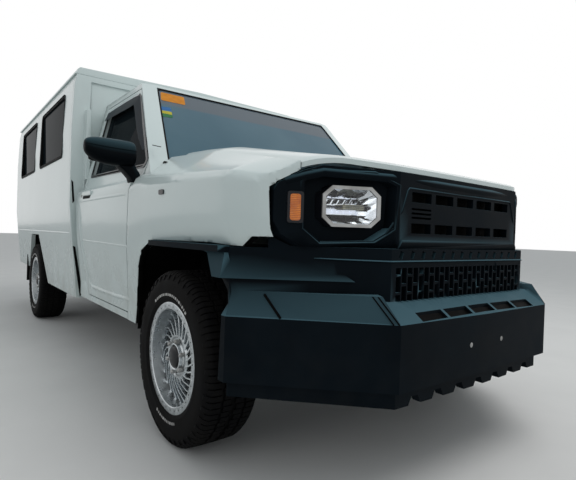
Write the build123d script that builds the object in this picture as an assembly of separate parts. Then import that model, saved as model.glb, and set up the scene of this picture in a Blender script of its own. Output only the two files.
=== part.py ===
from build123d import *
import os
from math import cos, hypot, radians, sin, tan

# A light utility vehicle: a two-door cab with a windowed passenger body on one ladder frame.
# Millimetres. x points to the vehicle's left, z up from the ground.
# y is measured back from the front axle; place() then moves every piece to the middle of the length.

# Overall sizes
WHEELBASE = 3085
FRONT_OVERHANG = 820
REAR_OVERHANG = 1215
CAB_HALF = 892.5
VAN_HALF = 925
GAP = 5.5
SKIN = 28
DOOR_DEPTH = 58
GLASS_DEPTH = 22
GLASS_T = 6
SEAT = 0.3

# Wheels and tyres
TYRE_R = 343
TYRE_W = 225
RIM_R = 205
LIP_R = 218
RIM_W = 205
WHEEL_X = 782.5
HUB_FACE = 78
STUB_R = 30
STUB_FIT = 0.05
KINGPIN_X = 720
KINGPIN_R = 20

# Ladder frame
RAIL_IN = 350
RAIL_OUT = 420
RAIL_Z = 470
RAIL_H = 120
FRAME_FRONT = -640
TOW_Y = FRAME_FRONT + 22
TOW_R = 11
HITCH_R = 13
EXHAUST_R = 24
HITCH_Y = WHEELBASE + 1140
PLATE_PITCH = 210
PLATE_HOLE_R = 3.5
PLATE_Z = 470

# Cab
CAB_FLOOR_Z = 620
CAB_UNDER_Z = CAB_FLOOR_Z - 26
CAB_REAR = 1560
SILL_Z = 388
BELT_Z = 1100
CAB_TOP_Z = 1682
ROOF_CROWN = 30
SCREEN_BASE_Y = 372
SCREEN_TOP_Y = 884
DOOR_FRONT = 525
DOOR_FOOT_Z = 428
HOOD_REAR = 352
HOOD_HALF = 700
REAR_WINDOW_HALF = 520
REAR_WINDOW_Z = (1180, 1560)

# Passenger body
VAN_FRONT = 1600
VAN_REAR = WHEELBASE + 1035
VAN_WALL = 34
VAN_FLOOR_Z = 640
AISLE_MAT = 4
VAN_TOP_Z = 1920
VAN_EAVE_Z = VAN_TOP_Z - 48
SKIRT_Z = 372
TAIL_SKIRT_Z = 450

# Front panels
PANEL_Y = -710
PANEL_CORNER = 394
PANEL_HALF = 781
PANEL_SWEEP = 0.478
PANEL_BASE_Z = 806
PANEL_TOP_Z = 1062
BEAM_TOP_Z = 574
BEAM_BASE_Z = 361
VALANCE_Z = 302

FRONT_Y = -FRONT_OVERHANG
REAR_Y = WHEELBASE + REAR_OVERHANG
MIDDLE_Y = (FRONT_Y + REAR_Y) / 2
FAR = 3000


def place(shape):
    return Pos(0, -MIDDLE_Y, 0) * shape


def block(x0, x1, y0, y1, z0, z1):
    return Pos((x0 + x1) / 2, (y0 + y1) / 2, (z0 + z1) / 2) * Box(x1 - x0, y1 - y0, z1 - z0)


def side_prism(outline, x0, x1):
    """Extrude a (y, z) outline from x0 to x1."""
    face = make_face(Polyline([(x0, y, z) for y, z in outline], close=True))
    return extrude(face, x1 - x0, dir=(1, 0, 0))


def front_prism(outline, y0, y1):
    """Extrude an (x, z) outline from y0 to y1."""
    face = make_face(Polyline([(x, y0, z) for x, z in outline], close=True))
    return extrude(face, y1 - y0, dir=(0, 1, 0))


def plan_prism(outline, z0, z1):
    """Extrude an (x, y) outline from z0 to z1."""
    face = make_face(Polyline([(x, y, z0) for x, y in outline], close=True))
    return extrude(face, z1 - z0, dir=(0, 0, 1))


def both_halves(outline):
    """Close a half outline, given from the centreline outwards, with its mirror image."""
    return outline + [(-x, other) for x, other in reversed(outline) if x > 0]


def level_loft(lower, upper, z0, z1):
    """Join two (x, y) outlines of as many corners with flat or ruled faces."""
    faces = [make_face(Polyline([(x, y, z) for x, y in o], close=True)) for o, z in ((lower, z0), (upper, z1))]
    return loft(faces, ruled=True)


def opposite(shape):
    return mirror(shape, about=Plane.YZ)


def cylinder_x(radius, x0, x1, y, z):
    return Pos((x0 + x1) / 2, y, z) * Rot(0, 90, 0) * Cylinder(radius, x1 - x0)


def cylinder_y(radius, y0, y1, x, z):
    return Pos(x, (y0 + y1) / 2, z) * Rot(90, 0, 0) * Cylinder(radius, y1 - y0)


def cylinder_z(radius, z0, z1, x, y):
    return Pos(x, y, (z0 + z1) / 2) * Cylinder(radius, z1 - z0)


def strut(start, end, radius):
    """A round bar between two points."""
    line = Line(start, end)
    return sweep(Plane(origin=start, z_dir=line.tangent_at(0)) * Circle(radius), path=line)


def round_pipe(points, radius, bend):
    """A round pipe along straight runs joined by tangent bends."""
    route = FilletPolyline(points, radius=bend)
    return sweep(Plane(origin=points[0], z_dir=route.tangent_at(0)) * Circle(radius), path=route)


# Cab body section: the side leans in below the belt and again above it
CAB_SECTION = [(846, SILL_Z), (852, 500), (885, 800), (CAB_HALF, 1030), (882, 1075), (845, BELT_Z)]


def cab_lower(inset, y0, y1, floor_z):
    half = [(0, BELT_Z)] + [(x - inset, max(z, floor_z)) for x, z in reversed(CAB_SECTION)] + [(0, floor_z)]
    return front_prism(both_halves(half), y0, y1)


# Upper cab corners at the belt and at the roof: screen edge x, pillar x and the pillar's distance behind the screen
HOUSE_BASE = (757, 833, 23)
HOUSE_TOP = (642, 708, 20)
HOUSE_FLARE = 0.0105


def glass_house(inset, z_top):
    """The upper cab, from the belt to the roof, as a frustum whose faces are all flat."""
    outlines = []
    for (screen_x, pillar_x, behind), front in ((HOUSE_BASE, SCREEN_BASE_Y), (HOUSE_TOP, SCREEN_TOP_Y)):
        pillar_y = front + behind + inset
        rear_y = CAB_REAR - inset
        half = [(screen_x - inset * 0.5, front + inset), (pillar_x - inset, pillar_y)]
        half.append((pillar_x - inset + HOUSE_FLARE * (rear_y - pillar_y), rear_y))
        outlines.append(half + [(-x, y) for x, y in reversed(half)])
    shape = level_loft(outlines[0], outlines[1], BELT_Z, CAB_TOP_Z)
    return shape & block(-FAR, FAR, -FAR, FAR, 0, z_top)


def cab_skin(inset, floor_z, z_top):
    front = DOOR_FRONT - 50 + inset
    return cab_lower(inset, front, CAB_REAR - inset, floor_z) + glass_house(inset, z_top)


# Door outline on the body side, in (y, z), from the front foot round
DOOR_OUTLINE = [(618, DOOR_FOOT_Z), (DOOR_FRONT, 1050), (503, 1110), (474, 1176), (880, 1640), (1484, 1640),
                (1506, 1120), (1516, 960), (1480, 700), (1410, 500), (1350, DOOR_FOOT_Z)]
WINDOW_OUTLINE = [(494, 1184), (514, 1160), (1455, 1180), (1440, 1598), (866, 1598)]


def grown(outline, distance):
    """Offset a (y, z) outline outwards, or inwards for a negative distance."""
    face = make_face(Polyline([(y, z, 0) for y, z in outline], close=True))
    return offset(face, distance, kind=Kind.INTERSECTION)


def grown_prism(outline, distance, x0, x1):
    flat = grown(outline, distance)
    upright = Plane(origin=(x0, 0, 0), x_dir=(0, 1, 0), z_dir=(1, 0, 0)) * flat
    return extrude(upright, x1 - x0, dir=(1, 0, 0))


def side_wall(depth, start=0):
    """The left side of the cab body between two depths, measured sideways from its outer face."""
    body = cab_lower(0, DOOR_FRONT - 200, CAB_REAR, SILL_Z) + glass_house(0, CAB_TOP_Z)
    wall = Pos(-start, 0, 0) * body - Pos(-depth, 0, 0) * body
    return wall & block(400, FAR, -FAR, FAR, SILL_Z, CAB_TOP_Z)


# Where the fender meets the door, in (y, z), from the top down
FENDER_REAR = [(474, 1300), (474, 1176), (503, 1110), (DOOR_FRONT, 1050), (618, DOOR_FOOT_Z), (618, SILL_Z - 2)]


def frame_rails():
    rail = block(RAIL_IN, RAIL_OUT, FRAME_FRONT, VAN_REAR - 60, RAIL_Z, RAIL_Z + RAIL_H)
    rail -= block(RAIL_IN, RAIL_OUT - 12, FRAME_FRONT + 40, VAN_REAR - 100, RAIL_Z + 12, RAIL_Z + RAIL_H - 12)
    for y in (700, 1400):
        rail += block(RAIL_IN + 10, RAIL_OUT - 10, y - 30, y + 30, RAIL_Z + RAIL_H, CAB_UNDER_Z - SEAT)
    frame = rail + opposite(rail)
    frame += block(-RAIL_IN, RAIL_IN, FRAME_FRONT, FRAME_FRONT + 60, RAIL_Z + 10, RAIL_Z + 90)
    for y in (-150, 900, 1450, 2050, 2560, 3560, VAN_REAR - 95):
        frame += block(-RAIL_IN, RAIL_IN, y - 35, y + 35, RAIL_Z + 75, RAIL_Z + RAIL_H - 5)
    return frame - cylinder_z(TOW_R, 400, 700, 0, TOW_Y)


def powertrain():
    engine = block(-230, 230, -330, 260, 600, 930) + block(-130, 130, -290, 220, 930, 985)
    sump = block(-150, 150, -90, 270, 380, 600)
    gearbox = cylinder_y(88, 255, 820, 0, 500)
    radiator = block(-330, 330, -600, -545, RAIL_Z + 90, 990)
    hose = cylinder_y(24, -560, -320, 120, 850)
    for x in (-215, 215):
        engine += block(x - 15, x + 15, -170, -130, RAIL_Z + RAIL_H - 5 + SEAT, 601)
    pipe = round_pipe([(190, 240, 700), (250, 420, 420), (250, 2300, 400), (290, 2800, 500), (290, 3450, 500),
                       (290, 4050, 430)], EXHAUST_R, 70)
    silencer = Pos(250, 1900, 404) * Rot(90, 0, 0) * Cylinder(75, 520)
    return engine + sump + gearbox + radiator + hose + pipe + silencer


def cab_shell():
    shell = cab_skin(0, SILL_Z, CAB_TOP_Z)
    shell -= cab_skin(62, CAB_FLOOR_Z, FAR)
    shell -= block(-765, 765, DOOR_FRONT - 60, CAB_REAR + 1, SILL_Z - 1, CAB_UNDER_Z)
    for side in (-1, 1):
        x0, x1 = sorted((side * 600, side * FAR))
        shell -= grown_prism(DOOR_OUTLINE, GAP, x0, x1) & cab_opening(side)
        lapped = side_prism(FENDER_REAR + [(0, SILL_Z - 2), (0, 1300)], 400, FAR) & side_wall(SKIN + SEAT)
        lapped &= block(0, FAR, -FAR, FAR, 0, BELT_Z - 2)
        shell -= lapped if side > 0 else opposite(lapped)
        for z in (560, 960):
            x0, x1 = sorted((side * 776, side * 815))
            hinge = block(x0, x1, 490, 640, z - 35, z + 35)
            shell += hinge - grown_prism(DOOR_OUTLINE, SEAT, *sorted((side * 600, side * FAR)))
    shell -= screen_cut()
    shell -= block(-REAR_WINDOW_HALF, REAR_WINDOW_HALF, CAB_REAR - 100, CAB_REAR + 10, *REAR_WINDOW_Z)
    return shell


def cab_opening(side):
    """Keeps the door's cut out of the sill box and the floor."""
    x0, x1 = sorted((side * 780, side * FAR))
    low = block(x0, x1, -FAR, FAR, 0, CAB_FLOOR_Z + 20)
    x0, x1 = sorted((side * 600, side * FAR))
    return low + block(x0, x1, -FAR, FAR, CAB_FLOOR_Z + 20, FAR)


SCREEN_MARGIN = 12
SCREEN_LOW_Z = 1150
SCREEN_HIGH_Z = 1664


def screen_plane_y(z):
    share = (z - BELT_Z) / (CAB_TOP_Z - BELT_Z)
    return SCREEN_BASE_Y + share * (SCREEN_TOP_Y - SCREEN_BASE_Y)


def screen_prism(fit, y_near, depth):
    """The windscreen's outline, in front view, as a leaning slab between two depths."""
    near = []
    for z in (SCREEN_LOW_Z + fit, SCREEN_HIGH_Z - fit):
        share = (z - BELT_Z) / (CAB_TOP_Z - BELT_Z)
        x = HOUSE_BASE[0] + share * (HOUSE_TOP[0] - HOUSE_BASE[0]) - SCREEN_MARGIN - fit
        near.append((x, screen_plane_y(z) + y_near, z))
    near += [(-x, y, z) for x, y, z in reversed(near)]
    face = make_face(Polyline(near, close=True))
    return extrude(face, depth, dir=(0, 1, 0))


def screen_cut():
    return screen_prism(0, -200, 420)


def cab_roof():
    screen_x, pillar_x, behind = HOUSE_TOP
    front = SCREEN_TOP_Y
    rear_x = pillar_x + HOUSE_FLARE * (CAB_REAR - front - behind)
    low = [(screen_x, front), (pillar_x, front + behind), (rear_x, CAB_REAR)]
    high = [(screen_x - 90, front + 125), (pillar_x - 100, front + behind + 130), (rear_x - 100, CAB_REAR - 60)]
    low += [(-x, y) for x, y in reversed(low)]
    high += [(-x, y) for x, y in reversed(high)]
    roof = level_loft(low, high, CAB_TOP_Z, CAB_TOP_Z + ROOF_CROWN)
    half = pillar_x - 110
    return roof - block(-half, half, front + 155, CAB_REAR - 70, 0, CAB_TOP_Z + ROOF_CROWN - 18)


def fixed_glass():
    glass = screen_prism(SEAT, 6, 8)
    half = REAR_WINDOW_HALF - SEAT
    glass += block(-half, half, CAB_REAR - 40, CAB_REAR - 34, REAR_WINDOW_Z[0] + SEAT, REAR_WINDOW_Z[1] - SEAT)
    for side in (-1, 1):
        for y0, y1 in VAN_WINDOWS:
            x0, x1 = sorted((side * (VAN_HALF - 26), side * (VAN_HALF - 20)))
            glass += block(x0, x1, y0 + SEAT, y1 - SEAT, WINDOW_BASE_Z + SEAT, WINDOW_TOP_Z - SEAT)
    return glass


# Fender sections from the cab to the nose, each as the seam, shoulder and side points
# Columns: y, seam z, shoulder's share of the way out from the hood, shoulder z, side x, side z
FENDER_TABLE = [
    (620, 1218, 0.873, 1092, CAB_HALF, 1035),
    (0, 1182, 0.873, 1070, CAB_HALF, 1033),
    (-388, 1112, 0.87, 1050, CAB_HALF - 8.5, 1022),
    (-560, 1080, 0.77, 1022, CAB_HALF - 88.5, 1000),
]
FENDER_ARCH = [(530, 300), (508, 365), (458, 560), (425, 665), (365, 750), (252, 801), (-236, 806), (-430, 800),
               (-474, 832), (-900, 842), (-900, 300)]


def fender_solid(inset):
    faces = []
    for y, seam_z, share, shoulder_z, side_x, side_z in FENDER_TABLE:
        shoulder_x = HOOD_HALF + share * (side_x - HOOD_HALF)
        outline = [(HOOD_HALF + GAP, seam_z - inset), (shoulder_x - inset * 0.5, shoulder_z - inset)]
        outline += [(side_x - inset, side_z - inset * 0.5), (side_x - 8 - inset, 800), (side_x - 40 - inset, 500)]
        outline += [(side_x - 46 - inset, 370), (HOOD_HALF + GAP, 370)]
        faces.append(make_face(Polyline([(x, y, z) for x, z in outline], close=True)))
    return loft(faces, ruled=True)


def ahead_of_panel(back):
    """Everything in front of the swept face of the front panel, moved back by a distance."""
    line = [(x, y + back) for x, y in ((0, PANEL_Y), (PANEL_CORNER, PANEL_Y), (1200, swept_y(1200)))]
    return plan_prism(both_halves(line + [(1200, -FAR), (0, -FAR)]), 0, FAR)


def swept_y(x):
    return PANEL_Y + PANEL_SWEEP * max(0, x - PANEL_CORNER)


def fender():
    shape = fender_solid(0) - fender_solid(SKIN)
    rear = [(y - GAP, z) for y, z in FENDER_REAR]
    shape &= side_prism([(-FAR, 1300)] + rear + [(-FAR, SILL_Z - 2)], 0, FAR)
    shape -= side_prism(FENDER_ARCH, 0, FAR)
    shape -= front_prism(panel_outline(4), -FAR, -440)
    shape -= ahead_of_panel(0)
    shape -= Pos(-SKIN, 0, 0) * cab_lower(0, 465, CAB_REAR, SILL_Z)
    shape -= block(HOOD_HALF, 848.4, 465, FAR, BELT_Z - 2 - SEAT, BELT_Z)
    return shape - glass_house(-4, FAR)


# Hood sections: y, z of the crest along each side
HOOD_TABLE = [(-740, 1073), (-388, 1138), (0, 1208), (HOOD_REAR, 1232)]
HOOD_T = 24


def hood_section(y, crest_z):
    half = [(0, crest_z + 12), (420, crest_z + 10), (636, crest_z), (HOOD_HALF, crest_z - 26)]
    low = [(x, z - HOOD_T) for x, z in reversed(half)]
    outline = half + low
    outline += [(-x, z) for x, z in reversed(low) if x > 0]
    outline += [(-x, z) for x, z in reversed(half) if x > 0]
    return make_face(Polyline([(x, y, z) for x, z in outline], close=True))


def hood():
    return loft([hood_section(*row) for row in HOOD_TABLE]) - ahead_of_panel(6)


def panel_outline(grow):
    half = [(0, PANEL_TOP_Z + grow), (420, PANEL_TOP_Z + 2 + grow), (636, PANEL_TOP_Z + 8 + grow)]
    half += [(697 + grow / 2, 1049 + grow), (771 + grow, 1005 + grow), (PANEL_HALF + grow, 980)]
    half += [(PANEL_HALF + grow, 885), (757 + grow, 842 - grow), (700, PANEL_BASE_Z - grow), (0, PANEL_BASE_Z - grow)]
    return both_halves(half)


def panel_band(near, far, z0, z1):
    """A band that follows the front panel in plan, between two depths behind its face."""
    line = [(0, PANEL_Y), (PANEL_CORNER, PANEL_Y), (PANEL_HALF + 20, swept_y(PANEL_HALF + 20))]
    half = [(x, y + near) for x, y in line] + [(x, y + far) for x, y in reversed(line)]
    return plan_prism(both_halves(half), z0, z1)


LAMP_POCKET = [(672, 1044), (476, 1048), (404, 1014), (412, 874), (476, 830), (640, 822), (690, 864), (692, 1010)]
LENS_X = 540
LENS_Z = 940
LENS_W = 184
LENS_H = 137
LENS_CHAMFER = 30
SIDE_LAMP_X = (700, 738)
SIDE_LAMP_Z = (885, 976)
SLOT_PITCH = 136.5
SLOT_W = 111
SLOT_H = 35


def lens_outline(grow):
    half_w, half_h, cut = LENS_W / 2 + grow, LENS_H / 2 + grow, LENS_CHAMFER
    corners = []
    for sx, sz, first in ((1, 1, 0), (-1, 1, 1), (-1, -1, 0), (1, -1, 1)):
        pair = [(sx * half_w, sz * (half_h - cut)), (sx * (half_w - cut), sz * half_h)]
        corners += pair if first == 0 else list(reversed(pair))
    return [(LENS_X + x, LENS_Z + z) for x, z in corners]


def grille_panel():
    outline = front_prism(panel_outline(0), -FAR, FAR)
    panel = panel_band(0, 26, 0, FAR) & outline
    rim = outline - front_prism(panel_outline(-24), -FAR, FAR)
    panel += panel_band(20, 80, 0, FAR) & rim
    lip = both_halves([(0, 836), (384, 836), (402, PANEL_BASE_Z), (0, PANEL_BASE_Z)])
    panel += panel_band(-9, 10, PANEL_BASE_Z, 836) & front_prism(lip, -FAR, FAR)
    for side in (-1, 1):
        pocket = front_prism([(side * x, z) for x, z in LAMP_POCKET], -FAR, FAR)
        panel -= pocket
        tray = front_prism([(side * x, z) for x, z in grown_corners(LAMP_POCKET, 14)], -FAR, FAR)
        panel += (tray & panel_band(14, 62, 0, FAR)) - (pocket & panel_band(0, 44, 0, FAR))
        panel -= front_prism([(side * x, z) for x, z in lens_outline(SEAT)], -FAR, FAR)
        panel -= side_lamp(side, SEAT)
    panel -= block(-HOOD_HALF - 10, HOOD_HALF + 10, -FAR, 0, PANEL_TOP_Z + 9, FAR)
    for column in range(5):
        x = (column - 2) * SLOT_PITCH
        for z in (985, 877):
            panel -= block(x - SLOT_W / 2, x + SLOT_W / 2, -FAR, 0, z - SLOT_H / 2, z + SLOT_H / 2)
    for row in range(3):
        z = 929 + (row - 1) * 15
        x = -2 * SLOT_PITCH
        panel -= block(x - SLOT_W / 2, x + SLOT_W / 2, -FAR, 0, z - 3.5, z + 3.5)
    return panel


def grown_corners(outline, distance):
    """Move the corners of an (x, z) outline away from its middle."""
    mid_x = sum(x for x, z in outline) / len(outline)
    mid_z = sum(z for x, z in outline) / len(outline)
    corners = []
    for x, z in outline:
        reach = hypot(x - mid_x, z - mid_z)
        corners.append((x + (x - mid_x) / reach * distance, z + (z - mid_z) / reach * distance))
    return corners


def headlamps():
    lamps = Part()
    for side in (-1, 1):
        lens = [(side * x, z) for x, z in lens_outline(0)]
        lamps += front_prism(lens, -FAR, FAR) & panel_band(6, 100, 0, FAR)
    return lamps


def side_lamp(side, grow):
    x0, x1 = sorted((side * (SIDE_LAMP_X[0] - grow), side * (SIDE_LAMP_X[1] + grow)))
    return block(x0, x1, -FAR, FAR, SIDE_LAMP_Z[0] - grow, SIDE_LAMP_Z[1] + grow) & panel_band(-3 - grow, 20, 0, FAR)


def side_lamps():
    return side_lamp(-1, 0) + side_lamp(1, 0)


BEAM_PLAN = [(0, FRONT_Y), (490, FRONT_Y + 10), (886, -425)]
SHELF_PLAN = [(0, -733), (470, -730), (845, -392)]
CORE_PLAN = [(0, -722), (440, -722), (600, -618), (860, -402)]
FLARE_PLAN = [(548, -668), (896, -400), (896, -226), (830, -226), (500, -600)]
CAP_LOW = [(490, -808), (884, -424), (848, -396), (465, -715)]
CAP_HIGH = [(505, -745), (852, -405), (820, -378), (470, -690)]
ARCH_FRONT = [(-224, 777), (-262, 770), (-392, 652), (-400, 560), (-380, 200), (0, 200), (0, 777)]
MESH_PITCH = 62


def closed_plan(front, back_y, inset=0):
    half = [(x - (inset if x > 0 else 0), y + inset) for x, y in front]
    half += [(half[-1][0], back_y), (0, back_y)]
    return both_halves(half)


def bumper_layer(front, z0, z1, back_y=-330, wall=32):
    outer = plan_prism(closed_plan(front, back_y), z0, z1)
    return outer - plan_prism(closed_plan(front, back_y + 1, wall), z0 - 1, z1 + 1)


def front_bumper():
    wall = 36
    beam = bumper_layer(BEAM_PLAN, BEAM_BASE_Z, BEAM_TOP_Z)
    lower = closed_plan(BEAM_PLAN, -330)
    upper = closed_plan(SHELF_PLAN, -330)
    shelf = level_loft(lower, upper, BEAM_TOP_Z, 632)
    lower = closed_plan(BEAM_PLAN, -329, wall)
    upper = closed_plan(SHELF_PLAN, -329, wall * 0.6)
    shelf -= level_loft(lower, upper, BEAM_TOP_Z - 1, 633)
    core = bumper_layer(CORE_PLAN, 600, PANEL_BASE_Z - SEAT)
    bumper = beam + shelf + core
    bumper += bumper_layer([(x * 0.96, y + 30) for x, y in BEAM_PLAN], VALANCE_Z, BEAM_BASE_Z, wall=30)
    bumper += corner_pieces() + opposite(corner_pieces())
    shoulder = bumper_layer(CORE_PLAN, PANEL_BASE_Z - 20, 829) & block(-FAR, FAR, -FAR, -480, 0, FAR)
    bumper += shoulder - front_prism(panel_outline(GAP), -FAR, FAR)
    for column in range(5):
        x = (column - 2) * 155
        bumper -= block(x - 70, x + 70, -809, -776, 500, 660)
    for column in range(14):
        x = (column - 6.5) * 60
        bumper -= Pos(x, -720, 785) * Rot(0, 20, 0) * Box(18, 90, 26)
    bumper -= mesh_holes()
    for tooth in range(7):
        x = (tooth - 3) * 125
        bumper -= front_prism([(x - 32, VALANCE_Z - 1), (x - 16, VALANCE_Z + 28), (x + 16, VALANCE_Z + 28),
                               (x + 32, VALANCE_Z - 1)], -FAR, -700)
    for x in (-PLATE_PITCH / 2, PLATE_PITCH / 2):
        bumper -= cylinder_y(PLATE_HOLE_R, FRONT_Y - 10, FRONT_Y + 60, x, PLATE_Z)
    for x0, x1 in ((-FAR, -690), (690, FAR)):
        bumper -= block(x0, x1, -480, 0, 796, FAR)
    bumper -= side_prism(ARCH_FRONT, -FAR, FAR)
    for side in (-1, 1):
        x0, x1 = sorted((side * 850, side * 896))
        bumper += block(x0, x1, -380, 235, 778, 800)
        x0, x1 = sorted((side * (RAIL_IN + 5), side * (RAIL_OUT - 5)))
        bumper += block(x0, x1, FRONT_Y + 24, FRAME_FRONT - SEAT, RAIL_Z + 15, RAIL_Z + 85)
    return bumper


def corner_pieces():
    """The flare over the wheel arch and the cap on the beam's corner, on the left."""
    inset = [(x - 26, y + 20) for x, y in FLARE_PLAN]
    flare = level_loft(FLARE_PLAN, inset, 695, 776)
    flare -= front_prism([(400, 694), (548, 694), (634, 777), (400, 777)], -FAR, FAR)
    return flare + level_loft(CAP_LOW, CAP_HIGH, BEAM_TOP_Z, 655)


def mesh_holes():
    holes = Part()
    for column in range(27):
        x = (column - 13) * MESH_PITCH / 2
        spans = ((628, 680), (690, 742)) if column % 2 else ((628, 652), (660, 712), (720, 742))
        for z0, z1 in spans:
            holes += block(x - 12, x + 12, -760, -660, z0, z1)
    return holes


def cowl():
    half = HOOD_HALF + 4
    plate = [(HOOD_REAR + 7, 1150), (HOOD_REAR + 7, 1186)]
    plate += [(screen_plane_y(z) - SEAT, z) for z in (1196, 1160)]
    shape = side_prism(plate, -half, half)
    for x in (-560, 560):
        hinge = block(x - 18, x + 18, HOOD_REAR - 24, HOOD_REAR + 12, 1150, 1230)
        shape += hinge - Pos(0, 0, -SEAT) * hood()
    return shape


def dashboard():
    front = DOOR_FRONT + 12 + SEAT
    board = side_prism([(front, 700), (600, 700), (660, 900), (720, 960), (720, 1050), (600, 1090), (front, 1090)],
                       -760, 760)
    column = strut((380, 660, 960), (380, 800, 1020), 24)
    wheel_plane = Plane(origin=(380, 800, 1020), z_dir=(0, 0.92, 0.39))
    rim = wheel_plane * Torus(180, 14)
    spokes = wheel_plane * Box(350, 34, 12) + wheel_plane * Cylinder(52, 26)
    return board + column + rim + spokes


def seat(x, y, width):
    foot_z = CAB_FLOOR_Z + SEAT
    cushion = [(y, foot_z), (y + 470, foot_z), (y + 470, 820), (y + 40, 860), (y, 840)]
    back = [(y + 400, 800), (y + 500, 800), (y + 590, 1400), (y + 500, 1400)]
    headrest = [(y + 520, 1399), (y + 590, 1399), (y + 612, 1560), (y + 548, 1560)]
    x0, x1 = x - width / 2, x + width / 2
    return side_prism(cushion, x0, x1) + side_prism(back, x0, x1) + side_prism(headrest, x - 120, x + 120)


def seats():
    return seat(380, 890, 500) + seat(-380, 890, 500) + bench(1) + bench(-1)


def bench(side):
    back = VAN_HALF - 65
    outline = [(470, 980), (470, 1060), (back - 70, 1060), (back - 35, 1330), (back, 1330), (back, 980), (600, 980)]
    outline = [(side * x, z) for x, z in outline]
    front, rear = VAN_FRONT + 160, VAN_REAR - 160
    pad = front_prism(outline, front, rear)
    x0, x1 = sorted((side * 600, side * (back - 20)))
    for y0, y1 in ((front + 40, front + 100), (rear - 100, rear - 40)):
        pad += block(x0, x1, y0, y1, VAN_FLOOR_Z, 980)
    return pad


# Passenger body section, from the skirt up to the roof edge
VAN_SECTION = [(VAN_HALF - 57, SKIRT_Z), (VAN_HALF - 20, 760), (VAN_HALF, 1000), (VAN_HALF, 1500),
               (VAN_HALF - 13, VAN_EAVE_Z - 72), (VAN_HALF - 25, VAN_EAVE_Z)]
VAN_WINDOWS = [(VAN_FRONT + 268, WHEELBASE - 347), (WHEELBASE - 77, WHEELBASE + 715)]
WINDOW_BASE_Z = 1346
WINDOW_TOP_Z = VAN_EAVE_Z - 88
ARCH_REAR = [(WHEELBASE - 557, 300), (WHEELBASE - 250, 775), (WHEELBASE + 129, 775), (WHEELBASE + 355, 500),
             (WHEELBASE + 385, TAIL_SKIRT_Z), (FAR + 3000, TAIL_SKIRT_Z), (FAR + 3000, 300)]


def van_side():
    outer = [(x, z) for x, z in VAN_SECTION]
    inner = [(x - VAN_WALL, z) for x, z in reversed(VAN_SECTION)]
    wall = front_prism(outer + inner, VAN_FRONT + 39 + SEAT, VAN_REAR)
    wall -= side_prism(ARCH_REAR, 0, FAR)
    for y0, y1 in VAN_WINDOWS:
        wall -= block(700, FAR, y0, y1, WINDOW_BASE_Z, WINDOW_TOP_Z)
    wall += block(VAN_HALF - 129, VAN_HALF - 59, VAN_REAR - 70, VAN_REAR, VAN_FLOOR_Z + 6, VAN_EAVE_Z - 72)
    for z in (900, 1250, 1600):
        wall += block(REAR_DOOR_HALF + SEAT, VAN_HALF - 127, VAN_REAR - 48, VAN_REAR - 4, z - 45, z + 45)
    return wall


def van_front_wall():
    half = [(0, SKIRT_Z)] + [(x, z) for x, z in VAN_SECTION] + [(0, VAN_EAVE_Z)]
    wall = front_prism(both_halves(half), VAN_FRONT, VAN_FRONT + 39)
    wall -= block(-806, 806, VAN_FRONT - 1, VAN_FRONT + 12, 700, VAN_EAVE_Z - 39)
    wall -= block(-REAR_WINDOW_HALF, REAR_WINDOW_HALF, VAN_FRONT - 1, VAN_FRONT + 60, *REAR_WINDOW_Z)
    wall -= block(-RAIL_OUT - 60, RAIL_OUT + 60, VAN_FRONT - 1, VAN_FRONT + 60, 300, 640)
    for side in (-1, 1):
        x0, x1 = sorted((side * 812, side * 840))
        strip = block(x0, x1, CAB_REAR + SEAT, VAN_FRONT, 400, 1640)
        x0, x1 = sorted((side * 800, side * 860))
        strip -= block(x0, x1, CAB_REAR, VAN_FRONT - 8, 410, 715)
        strip -= block(x0, x1, CAB_REAR, VAN_FRONT - 8, 1010, 1170)
        wall += strip
    return wall


def van_roof():
    half = [(0, VAN_EAVE_Z), (VAN_HALF - 25, VAN_EAVE_Z), (VAN_HALF - 28, VAN_TOP_Z - 16)]
    half += [(VAN_HALF - 45, VAN_TOP_Z), (0, VAN_TOP_Z + 18)]
    roof = front_prism(both_halves(half), VAN_FRONT, VAN_REAR)
    half = VAN_HALF - 85
    return roof - block(-half, half, VAN_FRONT + 40, VAN_REAR - 40, 0, VAN_TOP_Z - 14)


def van_floor():
    floor = block(-VAN_HALF, VAN_HALF, VAN_FRONT + 39 + SEAT, VAN_REAR - 72, VAN_FLOOR_Z - 40, VAN_FLOOR_Z)
    for side in (-1, 1):
        x0, x1 = sorted((side * 600, side * VAN_HALF))
        floor += block(x0, x1, WHEELBASE - 415, WHEELBASE + 425, VAN_FLOOR_Z - 40, 810)
        x0, x1 = sorted((side * 622, side * FAR))
        floor -= block(x0, x1, WHEELBASE - 393, WHEELBASE + 403, 0, 788)
    inside = [(x - VAN_WALL - SEAT, z) for x, z in VAN_SECTION]
    floor &= front_prism(both_halves([(0, SKIRT_Z)] + inside + [(0, VAN_EAVE_Z)]), 0, FAR * 2)
    for y in (VAN_FRONT + 100, WHEELBASE - 785, WHEELBASE + 615):
        floor += block(-700, 700, y, y + 60, RAIL_Z + RAIL_H, VAN_FLOOR_Z - 30)
    return floor + block(-560, 560, VAN_FRONT + 60, VAN_REAR - 100, VAN_FLOOR_Z, VAN_FLOOR_Z + AISLE_MAT)


REAR_DOOR_HALF = VAN_HALF - 133


def rear_door():
    panel = block(3, REAR_DOOR_HALF, VAN_REAR - 48, VAN_REAR, VAN_FLOOR_Z + 8, VAN_EAVE_Z - 6)
    panel -= block(120, 670, VAN_REAR - 60, VAN_REAR + 10, WINDOW_BASE_Z, WINDOW_TOP_Z)
    return panel


def rear_door_glass():
    return block(120 + SEAT, 670 - SEAT, VAN_REAR - 30, VAN_REAR - 24, WINDOW_BASE_Z + SEAT, WINDOW_TOP_Z - SEAT)


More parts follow.
